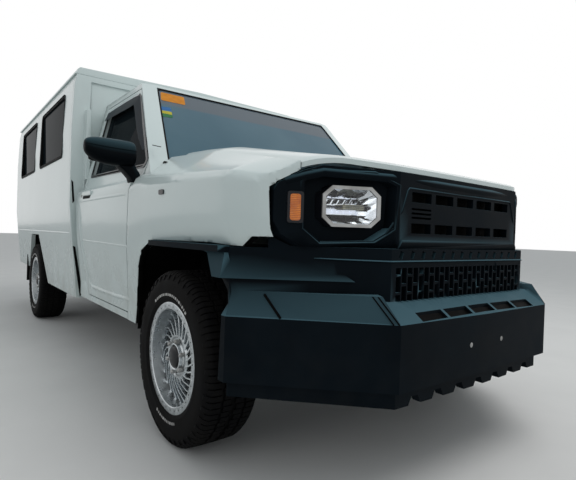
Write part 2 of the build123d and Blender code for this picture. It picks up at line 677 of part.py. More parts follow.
def tail_lamps():
    lamps = Part()
    for side in (-1, 1):
        x0, x1 = sorted((side * (VAN_HALF - 113), side * (VAN_HALF - 41)))
        lamps += block(x0, x1, VAN_REAR + SEAT, VAN_REAR + 30, 860, 1120)
    return lamps


def rear_step():
    step = block(-760, 760, VAN_REAR + 30, REAR_Y, 470, 510)
    for side in (-1, 1):
        x0, x1 = sorted((side * 352, side * 418))
        step += block(x0, x1, VAN_REAR - 60, VAN_REAR + 40, 480, 580)
        x0, x1 = sorted((side * 330, side * 440))
        step += block(x0, x1, VAN_REAR + 10, VAN_REAR + 60, 480, 600)
    return step - cylinder_z(HITCH_R, 400, 600, 0, HITCH_Y)


def fuel_tank():
    return block(SEAT - RAIL_IN, -120, 960, 1980, 330, RAIL_Z + 75 - SEAT)


def rear_axle():
    tube = cylinder_x(45, -640, 640, WHEELBASE, TYRE_R)
    diff = Pos(0, WHEELBASE, TYRE_R) * Sphere(125)
    nose = cylinder_y(60, WHEELBASE - 220, WHEELBASE, 0, TYRE_R)
    shaft = strut((0, WHEELBASE - 210, TYRE_R), (0, 826, 500), 38)
    axle = tube + diff + nose + shaft
    for side in (-1, 1):
        x0, x1 = sorted((side * 640, side * 690))
        axle += cylinder_x(140, x0, x1, WHEELBASE, TYRE_R)
        x0, x1 = sorted((side * 690, side * 800))
        axle += cylinder_x(STUB_R, x0, x1, WHEELBASE, TYRE_R)
        x0, x1 = sorted((side * 440, side * 510))
        leaf = [(WHEELBASE - 600, 520), (WHEELBASE - 60, 400), (WHEELBASE + 60, 400), (WHEELBASE + 620, 520),
                (WHEELBASE + 620, 540), (WHEELBASE + 60, 430), (WHEELBASE - 60, 430), (WHEELBASE - 600, 540)]
        axle += side_prism(leaf, x0, x1)
        axle += block(x0, x1, WHEELBASE - 60, WHEELBASE + 60, 330, 410)
        x0, x1 = sorted((side * (RAIL_OUT + SEAT), side * 510))
        axle += block(x0, x1, WHEELBASE - 640, WHEELBASE - 590, 500, 580)
        axle += block(x0, x1, WHEELBASE + 610, WHEELBASE + 660, 500, 580)
    return axle


def front_arms():
    arms = Part()
    for side in (-1, 1):
        for y in (-150, 150):
            arms += strut((side * 400, y, 300), (side * (KINGPIN_X - 2), 0, 225), 17)
            arms += strut((side * 400, y * 0.8, 500), (side * (KINGPIN_X - 2), 0, 470), 14)
        x0, x1 = sorted((side * 370, side * 430))
        arms += block(x0, x1, -190, 190, 260, RAIL_Z - SEAT)
        arms -= cylinder_z(KINGPIN_R + 0.3, 0, 600, side * KINGPIN_X, 0)
        x0, x1 = sorted((side * (RAIL_IN - 1), side * (RAIL_OUT + 0.3)))
        arms -= block(x0, x1, -FAR, FAR, RAIL_Z - SEAT, FAR)
    arms += block(-375, 375, -60, 60, 262, 330)
    return arms


def knuckle():
    post = cylinder_z(KINGPIN_R, 205, 490, KINGPIN_X, 0)
    hub = cylinder_x(62, KINGPIN_X - 12, KINGPIN_X + 30, 0, TYRE_R)
    disc = cylinder_x(140, KINGPIN_X + 22, KINGPIN_X + 40, 0, TYRE_R)
    stub = cylinder_x(STUB_R, KINGPIN_X + 30, 800, 0, TYRE_R)
    return post + hub + disc + stub


TYRE_HALF = [(RIM_R, 95), (LIP_R + 2, 95.5), (225, 105), (270, TYRE_W / 2), (312, 108), (334, 97), (TYRE_R, 84)]
TYRE_PROFILE = TYRE_HALF + [(r, -x) for r, x in reversed(TYRE_HALF)]


def wheel_axis(profile):
    """Revolve a (radius, outward offset) profile about the wheel's axle, at the left front wheel."""
    face = make_face(Polyline([(x, 0, r) for r, x in profile], close=True))
    return Pos(WHEEL_X, 0, TYRE_R) * revolve(face, axis=Axis.X)


def tyre():
    return wheel_axis(TYRE_PROFILE)


def rim():
    half = RIM_W / 2
    barrel = wheel_axis([(RIM_R - 9, -half), (RIM_R - 9, half), (LIP_R, half), (LIP_R, 97), (RIM_R, 96), (RIM_R, -96),
                         (LIP_R, -97), (LIP_R, -half)])
    centre = wheel_axis([(0, 56), (0, HUB_FACE), (78, HUB_FACE), (RIM_R - 8, 52), (RIM_R - 8, 36), (85, 56)])
    bore = cylinder_x(STUB_R + STUB_FIT, 700, 803, 0, TYRE_R)
    boss = cylinder_x(58, WHEEL_X, WHEEL_X + HUB_FACE, 0, TYRE_R)
    shape = barrel + centre + boss - bore
    count = 12
    for n in range(count):
        window = plan_prism([(-9, 100), (9, 100), (24, 186), (-24, 186)], -200, 200)
        turned = Pos(WHEEL_X, 0, TYRE_R) * Rot(360 / count * n, 0, 0) * Rot(0, 90, 0) * window
        shape -= turned
    return shape


MIRROR_SECTION = [(464, 1165), (474, 1244), (508, 1268), (556, 1260), (572, 1180), (544, 1142), (492, 1138)]


def mirror_arm():
    outer = [(518 + (y - 518) * 0.62, 1190 + (z - 1190) * 0.62) for y, z in MIRROR_SECTION]
    head = side_prism(MIRROR_SECTION, 872, 1048)
    faces = []
    for x, outline in ((1048, MIRROR_SECTION), (1103, outer)):
        faces.append(make_face(Polyline([(x, y, z) for y, z in outline], close=True)))
    head += loft(faces, ruled=True)
    arm = front_prism([(815, 1072), (876, 1066), (934, 1150), (815, 1150)], 512, 566)
    return head + arm - cab_lower(0, 0, CAB_REAR, SILL_Z) - glass_house(0, CAB_TOP_Z)


def door_panel():
    blank = side_wall(DOOR_DEPTH) & side_prism(DOOR_OUTLINE, 300, FAR)
    blank -= grown_prism(WINDOW_OUTLINE, 0, 300, FAR)
    return blank


def door_glass():
    return side_wall(GLASS_DEPTH + GLASS_T, GLASS_DEPTH) & grown_prism(WINDOW_OUTLINE, -SEAT, 300, FAR)


NODES = {
    "frame_rails": frame_rails,
    "powertrain": powertrain,
    "cab_shell": cab_shell,
    "cab_roof": cab_roof,
    "fixed_glass": fixed_glass,
    "hood": hood,
    "grille_panel": grille_panel,
    "headlamps": headlamps,
    "side_lamps": side_lamps,
    "front_bumper": front_bumper,
    "cowl": cowl,
    "dashboard": dashboard,
    "seats": seats,
    "van_floor": van_floor,
    "van_front_wall": van_front_wall,
    "van_roof": van_roof,
    "tail_lamps": tail_lamps,
    "rear_step": rear_step,
    "fuel_tank": fuel_tank,
    "rear_axle": rear_axle,
    "front_arms": front_arms,
}
PAIRS = {
    "fender": fender,
    "van_side": van_side,
    "door": door_panel,
    "door_glass": door_glass,
    "door_mirror": mirror_arm,
    "rear_door": rear_door,
    "rear_door_glass": rear_door_glass,
    "knuckle": knuckle,
    "front_tyre": tyre,
    "front_rim": rim,
}
REAR_PAIRS = {"rear_tyre": tyre, "rear_rim": rim}


def main():
    os.makedirs("parts", exist_ok=True)
    for name, build in NODES.items():
        export_step(place(build()), f"parts/{name}.step")
    for name, build in PAIRS.items():
        shape = place(build())
        export_step(shape, f"parts/{name}_left.step")
        export_step(opposite(shape), f"parts/{name}_right.step")
    for name, build in REAR_PAIRS.items():
        shape = place(Pos(0, WHEELBASE, 0) * build())
        export_step(shape, f"parts/{name}_left.step")
        export_step(opposite(shape), f"parts/{name}_right.step")


main()
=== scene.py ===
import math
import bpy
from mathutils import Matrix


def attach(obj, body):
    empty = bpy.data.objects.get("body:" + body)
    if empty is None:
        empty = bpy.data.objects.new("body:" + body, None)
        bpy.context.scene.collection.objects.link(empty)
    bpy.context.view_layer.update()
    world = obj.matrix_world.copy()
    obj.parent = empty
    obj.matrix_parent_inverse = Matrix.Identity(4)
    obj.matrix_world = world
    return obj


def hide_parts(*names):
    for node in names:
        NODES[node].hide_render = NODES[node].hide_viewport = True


bl_info = {
    "name": "Light utility vehicle",
    "version": (1, 0, 0),
    "blender": (4, 5, 0),
    "location": "3D View > Sidebar > Vehicle",
    "description": "Finishes and fittings for a light utility vehicle with a passenger body",
    "category": "Add Mesh",
}

import bmesh
import bpy
from bpy.props import FloatProperty, FloatVectorProperty, IntProperty, PointerProperty
from mathutils import Matrix, Vector

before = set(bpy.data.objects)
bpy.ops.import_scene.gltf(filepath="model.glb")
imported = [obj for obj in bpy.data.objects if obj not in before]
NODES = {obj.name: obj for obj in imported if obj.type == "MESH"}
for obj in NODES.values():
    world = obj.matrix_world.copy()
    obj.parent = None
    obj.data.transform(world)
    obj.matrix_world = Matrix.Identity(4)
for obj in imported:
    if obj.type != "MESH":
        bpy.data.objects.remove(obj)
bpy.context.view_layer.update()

# The front axle's place along the frame, in metres. All other places are in millimetres:
# x to the vehicle's left, y back from the front axle and z up from the ground.
AXLE_Y = -1.740
ORIGIN = Vector((0, 0, 0))
SIDES = (("left", 1), ("right", -1))
AXLES = (("front", 0.0), ("rear", 3085.0))
WHEEL_X = 782.5
HUB_Z = 343.0

# Half widths of the cab and the passenger body, by height
CAB_SECTION = [(388, 846), (500, 852), (800, 885), (1030, 892.5), (1075, 882), (1100, 845)]
VAN_SECTION = [(372, 868), (760, 905), (1000, 925), (1500, 925), (1800, 912), (1872, 900)]
BELT_Z = 1100
ROOF_RISE = 582
VAN_REAR = 4120
REAR_AXIS_X = 795

# Window outlines: (y, z) on the door, y from and to on the passenger body
WINDOW_OUTLINE = [(494, 1184), (514, 1160), (1455, 1180), (1440, 1598), (866, 1598)]
VAN_WINDOWS = [(1868, 2738), (3008, 3800)]
WINDOW_LOW, WINDOW_HIGH = 1346, 1784
SCREEN_LOW, SCREEN_HIGH = 1150, 1664


class FinishSettings(bpy.types.PropertyGroup):
    # The body paint is white paint greyed and tinted green by painted shade
    paint_colour: FloatVectorProperty(
        name="Body paint", description="Colour of the gloss body paint", subtype="COLOR",
        size=3, min=0, max=1, default=(0.62, 0.70, 0.69))
    # The front plastic is darker than its own black by painted shade
    plastic_colour: FloatVectorProperty(
        name="Front plastic", description="Colour of the satin front panel and bumper", subtype="COLOR",
        size=3, min=0, max=1, default=(0.0026, 0.0046, 0.0066))
    # Painted sky reflection: the lighter, bluer colour the plastic takes on faces that point up
    painted_sky_reflection_colour: FloatVectorProperty(
        name="Painted sky reflection", description="Colour of the satin plastic where it faces the sky",
        subtype="COLOR", size=3, min=0, max=1, default=(0.050, 0.100, 0.122))
    glass_colour: FloatVectorProperty(
        name="Glass tint", description="Colour of the tinted side windows", subtype="COLOR",
        size=3, min=0, max=1, default=(0.010, 0.015, 0.018))
    dust_colour: FloatVectorProperty(
        name="Road dust", description="Colour of the dust low on the body", subtype="COLOR",
        size=3, min=0, max=1, default=(0.33, 0.30, 0.25))
    edge_radius: FloatProperty(
        name="Panel edge", description="Radius that panel edges are softened by", subtype="DISTANCE",
        unit="LENGTH", min=0.0005, max=0.01, default=0.004)


class WheelSettings(bpy.types.PropertyGroup):
    lug_count: IntProperty(
        name="Tread blocks", description="Tread blocks round each tyre", min=20, max=80, default=44)
    blade_count: IntProperty(
        name="Wheel blades", description="Slim blades between the hub and the barrel",
        min=8, max=40, default=24)
    rivet_count: IntProperty(
        name="Ring rivets", description="Rivets round the outer ring", min=8, max=60, default=32)
    nut_count: IntProperty(
        name="Wheel nuts", description="Nuts round the hub", min=4, max=8, default=6)


class StageSettings(bpy.types.PropertyGroup):
    floor_colour: FloatVectorProperty(
        name="Floor", description="Colour of the studio floor", subtype="COLOR",
        size=3, min=0, max=1, default=(0.78, 0.77, 0.75))
    key_power: FloatProperty(
        name="Key lamp", description="Power of the large soft lamp above", unit="POWER", min=0, default=165.0)
    fill_power: FloatProperty(
        name="Fill lamp", description="Power of the soft lamp at the near side", unit="POWER",
        min=0, default=25.0)
    sky_level: FloatProperty(
        name="Surroundings", description="Brightness of the even light all round", min=0, max=2, default=0.50)
    focal_length: FloatProperty(
        name="Focal length", description="Camera focal length on a 36 mm sensor", unit="CAMERA",
        min=10, max=200, default=28.497)


class VehicleSettings(bpy.types.PropertyGroup):
    finish: PointerProperty(type=FinishSettings, name="Finishes", description="Colours and edge softness")
    wheel: PointerProperty(type=WheelSettings, name="Wheels", description="Repeats on the wheels and tyres")
    stage: PointerProperty(type=StageSettings, name="Stage", description="Floor, lamps and camera")


def settings():
    return bpy.context.scene.vehicle_settings


# Points and surfaces
def at(x, y, z):
    """A point of the frame, given in millimetres from the front axle."""
    return Vector((x / 1000, y / 1000 + AXLE_Y, z / 1000))


def places(rows, side=1):
    """Points of the frame from rows of (x, y, z), mirrored where side is -1."""
    return [at(side * x, y, z) for x, y, z in rows]


def lerp(a, b, share):
    return a + (b - a) * share


def clamp(value):
    return max(0.0, min(1.0, value))


def table_value(rows, value):
    for (v0, w0), (v1, w1) in zip(rows, rows[1:]):
        if v0 <= value <= v1:
            return lerp(w0, w1, (value - v0) / (v1 - v0))
    return rows[0][1] if value < rows[0][0] else rows[-1][1]


def above_belt(z):
    """How far a height is from the belt line, 0, to the cab roof's edge, 1."""
    return (z - BELT_Z) / ROOF_RISE


def cab_side_x(y, z):
    """Half width of the cab at a point of its side."""
    if z <= BELT_Z:
        return table_value(CAB_SECTION, z)
    share = above_belt(z)
    return lerp(833, 708, share) + 0.0105 * (y - lerp(395, 904, share))


def van_side_x(y, z):
    return table_value(VAN_SECTION, z)


def screen_x(z):
    """Half width of the windscreen."""
    return lerp(757, 642, above_belt(z))


def screen_y(x, z):
    return lerp(372, 884, above_belt(z))


def panel_y(x, z=0):
    """The swept front of the grille panel."""
    return -710 + 0.478 * max(0, abs(x) - 394)


def same(value):
    """A flat wall's one place, for on_side and on_wall."""
    return lambda a, b: value


def on_side(half_width, side, lift=0.0):
    """Places (y, z, depth) on a side wall, with depth outwards."""
    return lambda y, z, depth: at(side * (half_width(y, z) + lift + depth), y, z)


def on_wall(wall_y, side=1, lift=0.0, way=1):
    """Places (x, z, depth) on a cross wall, with depth to the rear, or to the front if way is -1."""
    return lambda x, z, depth: at(side * x, wall_y(x, z) + lift + way * depth, z)


# Mesh building: each add function adds one closed form to a bmesh and gives the bmesh back
def new_object(name, shape, crease=35):
    """An object made from a bmesh, smooth but sharp over the crease angle."""
    mesh = bpy.data.meshes.new(name)
    shape.to_mesh(mesh)
    shape.free()
    mesh.shade_smooth()
    mesh.set_sharp_from_angle(angle=math.radians(crease))
    obj = bpy.data.objects.new(name, mesh)
    bpy.context.scene.collection.objects.link(obj)
    return obj


def skin(shape, loops, capped=True, hooped=False, skip=()):
    """Faces between matching loops of points, over both ends if capped, back to the first loop if hooped."""
    rings = [[shape.verts.new(p) for p in loop] for loop in loops]
    faces = [shape.faces.new(rings[0]), shape.faces.new(rings[-1][::-1])] if capped else []
    count = len(rings[0])
    for a, b in zip(rings, rings[1:] + (rings[:1] if hooped else [])):
        for k in range(count):
            if k not in skip:
                j = (k + 1) % count
                faces.append(shape.faces.new((a[k], a[j], b[j], b[k])))
    return faces


def add_loft(shape, loops, **how):
    bmesh.ops.recalc_face_normals(shape, faces=skin(shape, loops, **how))
    return shape


def add_prism(shape, outline, push):
    """A closed prism: an outline of points pushed along a vector."""
    return add_loft(shape, [outline, [p + push for p in outline]])


def add_box(shape, span, side=1, soft=0.0, segments=2):
    """A box over (x0, x1, y0, y1, z0, z1), with its edges rounded by soft metres."""
    x0, x1, y0, y1, z0, z1 = span
    corners = ((side * x0, y0), (side * x1, y0), (side * x1, y1), (side * x0, y1))
    faces = skin(shape, [[at(x, y, z) for x, y in corners] for z in (z0, z1)])
    bmesh.ops.recalc_face_normals(shape, faces=faces)
    if soft:
        edges = list({e for f in faces for e in f.edges})
        bmesh.ops.bevel(shape, geom=edges, offset=soft, segments=segments, affect="EDGES")
    return shape


def add_tube(shape, path, radius, sides=12):
    """A round bar along points, with its radius in metres."""
    loops = []
    for i, p in enumerate(path):
        ahead = (path[min(i + 1, len(path) - 1)] - path[max(i - 1, 0)]).normalized()
        across = ahead.cross(Vector((0, 0, 1)))
        if across.length < 0.05:
            across = ahead.cross(Vector((0, 1, 0)))
        across.normalize()
        up = across.cross(ahead)
        turns = [2 * math.pi * k / sides for k in range(sides)]
        loops.append([p + (across * math.cos(a) + up * math.sin(a)) * radius for a in turns])
    return add_loft(shape, loops)


def add_lathe(shape, profile, steps, axis="X", centre=ORIGIN):
    """A turned form; the profile is (radius, offset) in millimetres, closed on itself or on the axis."""
    loops = []
    for k in range(steps):
        a = 2 * math.pi * k / steps
        spots = [(r * math.sin(a), r * math.cos(a), h) for r, h in profile]
        loops.append([centre + Vector({"X": (h, p, q), "Y": (p, h, q), "Z": (p, q, h)}[axis]) / 1000
                      for p, q, h in spots])
    inner = [r < 1e-6 for r, _ in profile]
    skip = [i for i in range(len(profile)) if inner[i] and inner[(i + 1) % len(profile)]]
    faces = skin(shape, loops, capped=False, hooped=True, skip=skip)
    bmesh.ops.remove_doubles(shape, verts=list({v for f in faces for v in f.verts}), dist=1e-6)
    bmesh.ops.recalc_face_normals(shape, faces=[f for f in faces if f.is_valid])
    return shape


def add_ring(shape, inner, outer, place, thickness):
    """A flat band between two matching outlines; place turns (a, b, depth) into a point."""
    rows = ((inner, 0), (outer, 0), (outer, thickness), (inner, thickness))
    return add_loft(shape, [[place(a, b, depth) for a, b in outline] for outline, depth in rows],
                    capped=False, hooped=True)


def add_plate(shape, outline, place, thickness):
    """A plate with an outline of (a, b) points; place turns (a, b, depth) into a point."""
    return add_loft(shape, [[place(a, b, depth) for a, b in outline] for depth in (0, thickness)])


def add_crease(shape, path, place, width, height):
    """A low soft ridge along a path on a surface."""
    loops = []
    last = len(path) - 1
    for i, spot in enumerate(path):
        along = (Vector(path[min(i + 1, last)]) - Vector(path[max(i - 1, 0)])).normalized()
        across = Vector((along.y, -along.x)) * (width / 2)
        fade = 0.15 if i in (0, last) else 1.0
        section = ((-1, -0.3), (-0.5, 0.6 * fade), (0, fade), (0.5, 0.6 * fade), (1, -0.3))
        loops.append([place(*(Vector(spot) + across * share), height * rise) for share, rise in section])
    return add_loft(shape, loops)


def add_pad(shape, low, high, crown, channels=(), cut=7, power=5.0, steps=14, tilt=0.0):
    """A stuffed pad between two corners: crowned faces, drawn-in corners and sewn channels.

    A channel is (axis it crosses, face, place, width). A face of -1 for x or -2 for y cuts both sides."""
    size = [(b - a) / 2 for a, b in zip(low, high)]
    middle = [(a + b) / 2 for a, b in zip(low, high)]
    bmesh.ops.create_cube(shape, size=2.0)
    bmesh.ops.subdivide_edges(shape, edges=shape.edges[:], cuts=steps, use_grid_fill=True)
    verts = shape.verts[:]
    for v in verts:
        u = [max(-1.0, min(1.0, c)) for c in v.co]
        reach = sum(abs(c) ** power for c in u) ** (1 / power)
        ball = [c / reach for c in u]
        p = []
        for k in range(3):
            i, j = (k + 1) % 3, (k + 2) % 3
            room = (1 - ball[i] ** 4) * (1 - ball[j] ** 4)
            p.append(ball[k] * (size[k] - crown[k] * (1 - room)))
        for axis, face, place, width in channels:
            depth = cut * math.exp(-((p[axis] - place) / width) ** 2)
            if face < 0:
                p[-face - 1] += depth if p[-face - 1] < 0 else -depth
            elif ball[face] > 0.6:
                p[face] -= depth
        v.co = Vector(p) / 1000
    bmesh.ops.rotate(shape, verts=verts, cent=(0, 0, 0), matrix=Matrix.Rotation(tilt, 3, "X"))
    bmesh.ops.translate(shape, verts=verts, vec=at(*middle))
    return shape


def polar(x, radius, angle):
    """A point round the X axis, in metres."""
    return Vector((x, radius * math.sin(angle), radius * math.cos(angle))) / 1000


def grown(outline, distance):
    """Offset a closed outline of two-number points outwards."""
    area = sum(a[0] * b[1] - b[0] * a[1] for a, b in zip(outline, outline[1:] + outline[:1]))
    turn = 1 if area > 0 else -1
    result = []
    for i, p in enumerate(outline):
        before, after = outline[i - 1], outline[(i + 1) % len(outline)]
        d0 = Vector((p[0] - before[0], p[1] - before[1])).normalized()
        d1 = Vector((after[0] - p[0], after[1] - p[1])).normalized()
        n0, n1 = Vector((d0.y, -d0.x)) * turn, Vector((d1.y, -d1.x)) * turn
        both = (n0 + n1).normalized()
        reach = distance / max(both.dot(n0), 0.3)
        if distance > 0:
            reach = min(reach, distance * 3)
        result.append((p[0] + both.x * reach, p[1] + both.y * reach))
    return result


def rounded(outline, radius, steps=4):
    """Round the corners of a closed outline of two-number points."""
    result = []
    for i, p in enumerate(outline):
        p = Vector(p)
        a, b = Vector(outline[i - 1]) - p, Vector(outline[(i + 1) % len(outline)]) - p
        cut = min(radius, a.length * 0.45, b.length * 0.45)
        start, end = p + a.normalized() * cut, p + b.normalized() * cut
        for k in range(steps + 1):
            t = k / steps
            q = start * (1 - t) ** 2 + p * 2 * t * (1 - t) + end * t * t
            result.append((q.x, q.y))
    return result


def rectangle(a0, a1, b0, b1):
    return [(a0, b0), (a1, b0), (a1, b1), (a0, b1)]


def band(shape, outline, inside, outside, place, thickness, steps=4):
    """A ring round an outline; inside and outside are (growth, corner radius)."""
    inner, outer = (rounded(grown(outline, grow), radius, steps) for grow, radius in (inside, outside))
    return add_ring(shape, inner, outer, place, thickness)


def moved(obj, shift):
    obj.data.transform(Matrix.Translation(shift))
    return obj


def joined(name, parts):
    """One object from several, with each part's own material kept."""
    shape = bmesh.new()
    materials = []
    for part in parts:
        first = len(shape.faces)
        shape.from_mesh(part.data)
        shape.faces.ensure_lookup_table()
        for face in shape.faces[first:]:
            material = part.data.materials[face.material_index]
            if material not in materials:
                materials.append(material)
            face.material_index = materials.index(material)
    mesh = bpy.data.meshes.new(name)
    shape.to_mesh(mesh)
    shape.free()
    for material in materials:
        mesh.materials.append(material)
    obj = bpy.data.objects.new(name, mesh)
    bpy.context.scene.collection.objects.link(obj)
    for part in parts:
        bpy.data.objects.remove(part)
    return obj


def softened(node, radius, rework=None, merged=True):
    """A copy of a CAD node with its long edges rounded, for a clean highlight."""
    shape = bmesh.new()
    shape.from_mesh(NODES[node].data)
    bmesh.ops.remove_doubles(shape, verts=shape.verts, dist=2e-5)
    if merged:
        bmesh.ops.dissolve_limit(shape, angle_limit=math.radians(0.6), verts=shape.verts, edges=shape.edges)
    if rework:
        rework(shape)
    short = radius * 2.6
    least_angle = math.radians(24)
    picked = []
    for edge in shape.edges:
        if not edge.is_manifold or edge.calc_length() < short * 2 or edge.calc_face_angle(0) < least_angle:
            continue
        if all(e.calc_length() >= short for v in edge.verts for e in v.link_edges):
            picked.append(edge)
    bmesh.ops.bevel(shape, geom=picked, offset=radius, offset_type="OFFSET", segments=2, profile=0.5,
                    affect="EDGES", clamp_overlap=True, loop_slide=True)
    bmesh.ops.triangulate(shape, faces=[f for f in shape.faces if len(f.verts) > 4])
    obj = new_object("skin_" + node, shape, 38)
    obj.modifiers.new("even_normals", "WEIGHTED_NORMAL").keep_sharp = True
    return obj


# Geometry Nodes for repeats
def repeat_tree(ring):
    """A node group that repeats a pattern evenly round the X axis, or in a row."""
    name = "Ring repeat" if ring else "Row repeat"
    tree = bpy.data.node_groups.get(name)
    if tree:
        return tree
    tree = bpy.data.node_groups.new(name, "GeometryNodeTree")
    spacing = ("Phase", "NodeSocketFloat") if ring else ("Step", "NodeSocketVector")
    for socket, kind in (("Pattern", "NodeSocketObject"), ("Count", "NodeSocketInt"), spacing,
                         ("Material", "NodeSocketMaterial")):
        tree.interface.new_socket(socket, in_out="INPUT", socket_type=kind)
    tree.interface.new_socket("Geometry", in_out="OUTPUT", socket_type="NodeSocketGeometry")
    make, link = tree.nodes.new, tree.links.new
    given, info, line = make("NodeGroupInput"), make("GeometryNodeObjectInfo"), make("GeometryNodeMeshLine")
    spread, real = make("GeometryNodeInstanceOnPoints"), make("GeometryNodeRealizeInstances")
    paint, out = make("GeometryNodeSetMaterial"), make("NodeGroupOutput")
    for a, output, b, socket in (
            (given, "Pattern", info, "Object"), (given, "Count", line, "Count"),
            (line, "Mesh", spread, "Points"), (info, "Geometry", spread, "Instance"),
            (spread, "Instances", real, "Geometry"), (real, "Geometry", paint, "Geometry"),
            (given, "Material", paint, "Material"), (paint, "Geometry", out, "Geometry")):
        link(a.outputs[output], b.inputs[socket])
    if not ring:
        link(given.outputs["Step"], line.inputs["Offset"])
        return tree
    line.inputs["Offset"].default_value = (0, 0, 0)
    value = make("GeometryNodeInputIndex").outputs[0]
    sums = (("DIVIDE", given.outputs["Count"]), ("MULTIPLY", None), ("ADD", given.outputs["Phase"]))
    for operation, other in sums:
        step = make("ShaderNodeMath")
        step.operation = operation
        step.inputs[1].default_value = 2 * math.pi
        link(value, step.inputs[0])
        if other:
            link(other, step.inputs[1])
        value = step.outputs[0]
    angle = make("ShaderNodeCombineXYZ")
    link(value, angle.inputs["X"])
    link(angle.outputs["Vector"], spread.inputs["Rotation"])
    return tree


def repeated(name, pattern, kind, **values):
    """A plain mesh object made from a pattern bmesh: round the X axis if a Phase is given, else in a row."""
    seed = new_object(name + "_pattern", pattern)
    seed.data.materials.append(finish(kind))
    carrier = bpy.data.objects.new(name + "_carrier", bpy.data.meshes.new(name + "_carrier"))
    bpy.context.scene.collection.objects.link(carrier)
    modifier = carrier.modifiers.new("repeat", "NODES")
    modifier.node_group = repeat_tree("Phase" in values)
    given = {"Pattern": seed, "Material": finish(kind), **values}
    for item in modifier.node_group.interface.items_tree:
        if item.item_type == "SOCKET" and item.in_out == "INPUT" and item.name in given:
            modifier[item.identifier] = given[item.name]
    graph = bpy.context.evaluated_depsgraph_get()
    mesh = bpy.data.meshes.new_from_object(carrier.evaluated_get(graph))
    mesh.name = name
    obj = bpy.data.objects.new(name, mesh)
    bpy.context.scene.collection.objects.link(obj)
    carrier.modifiers.remove(modifier)
    bpy.data.objects.remove(carrier)
    bpy.data.objects.remove(seed)
    return obj


# Materials
class Finish:
    """One procedural material: a shader and the pattern nodes that feed it."""

    def __init__(self, **sockets):
        self.material = bpy.data.materials.new("finish")
        self.material.use_nodes = True
        self.tree = self.material.node_tree
        self.shader = self.tree.nodes["Principled BSDF"]
        for key, value in sockets.items():
            self.shader.inputs[key.replace("_", " ")].default_value = value
        self.place = self.tree.nodes.new("ShaderNodeTexCoord").outputs["Object"]

    def feed(self, socket, value):
        if isinstance(value, bpy.types.NodeSocket):
            self.tree.links.new(value, socket)
        else:
            socket.default_value = value

    def node(self, kind, output, inputs, **given):
        """A new node's output, with its inputs linked or set by name or number."""
        made = self.tree.nodes.new(kind)
        for key, value in given.items():
            setattr(made, key, value)
        for key, value in inputs.items():
            self.feed(made.inputs[key], value)
        return made.outputs[output]

    def noise(self, scale, detail=3.0, stretch=None):
        source = self.place
        if stretch:
            source = self.node("ShaderNodeMapping", "Vector", {"Vector": source, "Scale": stretch})
        return self.node("ShaderNodeTexNoise", "Fac", {"Vector": source, "Scale": scale, "Detail": detail})

    def cells(self, scale):
        return self.node("ShaderNodeTexVoronoi", "Distance", {"Vector": self.place, "Scale": scale})

    def wave(self, scale, axis, distortion=0.0):
        values = {"Vector": self.place, "Scale": scale, "Distortion": distortion}
        return self.node("ShaderNodeTexWave", "Fac", values, bands_direction=axis)

    def axis(self, letter):
        return self.node("ShaderNodeSeparateXYZ", letter, {0: self.place})

    def upward(self):
        """How far a face points up, from -1 to 1."""
        return self.node("ShaderNodeSeparateXYZ", "Z", {0: self.node("ShaderNodeTexCoord", "Normal", {})})

    def span(self, value, low, high, out_low=0.0, out_high=1.0):
        values = {"Value": value, "From Min": low, "From Max": high, "To Min": out_low, "To Max": out_high}
        return self.node("ShaderNodeMapRange", "Result", values, clamp=True)

    def math(self, operation, a, b=0.0):
        return self.node("ShaderNodeMath", 0, {0: a, 1: b}, operation=operation)

    def mix(self, share, a, b):
        a, b = (c if isinstance(c, bpy.types.NodeSocket) else (*c, 1) for c in (a, b))
        return self.node("ShaderNodeMix", 2, {"Factor": share, 6: a, 7: b}, data_type="RGBA")

    def bump(self, height, strength, distance):
        values = {"Height": height, "Strength": strength, "Distance": distance}
        self.into("Normal", self.node("ShaderNodeBump", "Normal", values))

    def into(self, socket, value):
        self.feed(self.shader.inputs[socket], value)


def scaled(colour, factor):
    return tuple(min(1.0, c * factor) for c in colour)


def grained(grain, colours, rough, bump=None, **sockets):
    """A finish whose colour and roughness drift with one noise.

    The grain is (scale, detail, low, high); the bump is (pattern, its arguments, strength, distance)."""
    made = Finish(**sockets)
    drift = made.span(made.noise(*grain[:2]), *grain[2:])
    made.into("Base Color", made.mix(drift, *colours))
    made.into("Roughness", made.span(drift, 0, 1, *rough))
    if bump:
        pattern, arguments, strength, distance = bump
        made.bump(getattr(made, pattern)(*arguments), strength, distance)
    return made.material


def paint_finish():
    """Gloss paint with dust and streaks low on the body."""
    chosen = settings().finish
    made = Finish(Coat_Weight=0.16, Coat_Roughness=0.05, Specular_IOR_Level=0.25)
    white = tuple(chosen.paint_colour)
    colour = made.mix(made.span(made.noise(1.3, 4), 0.3, 0.7), white, scaled(white, 0.93))
    low = made.span(made.axis("Z"), 0.85, 0.36)
    dust = made.math("MULTIPLY", low, made.span(made.noise(7, 6), 0.35, 0.75))
    streak = made.math("MULTIPLY", made.span(made.noise(9, 3, (1.0, 1.0, 0.15)), 0.62, 0.8), 0.18)
    dirt = made.math("MAXIMUM", made.math("MULTIPLY", dust, 0.42), made.math("MULTIPLY", streak, low))
    made.into("Base Color", made.mix(dirt, colour, tuple(chosen.dust_colour)))
    made.into("Roughness", made.span(dirt, 0.0, 0.35, 0.2, 0.55))
    made.bump(made.noise(420, 1), 0.035, 0.001)
    return made.material


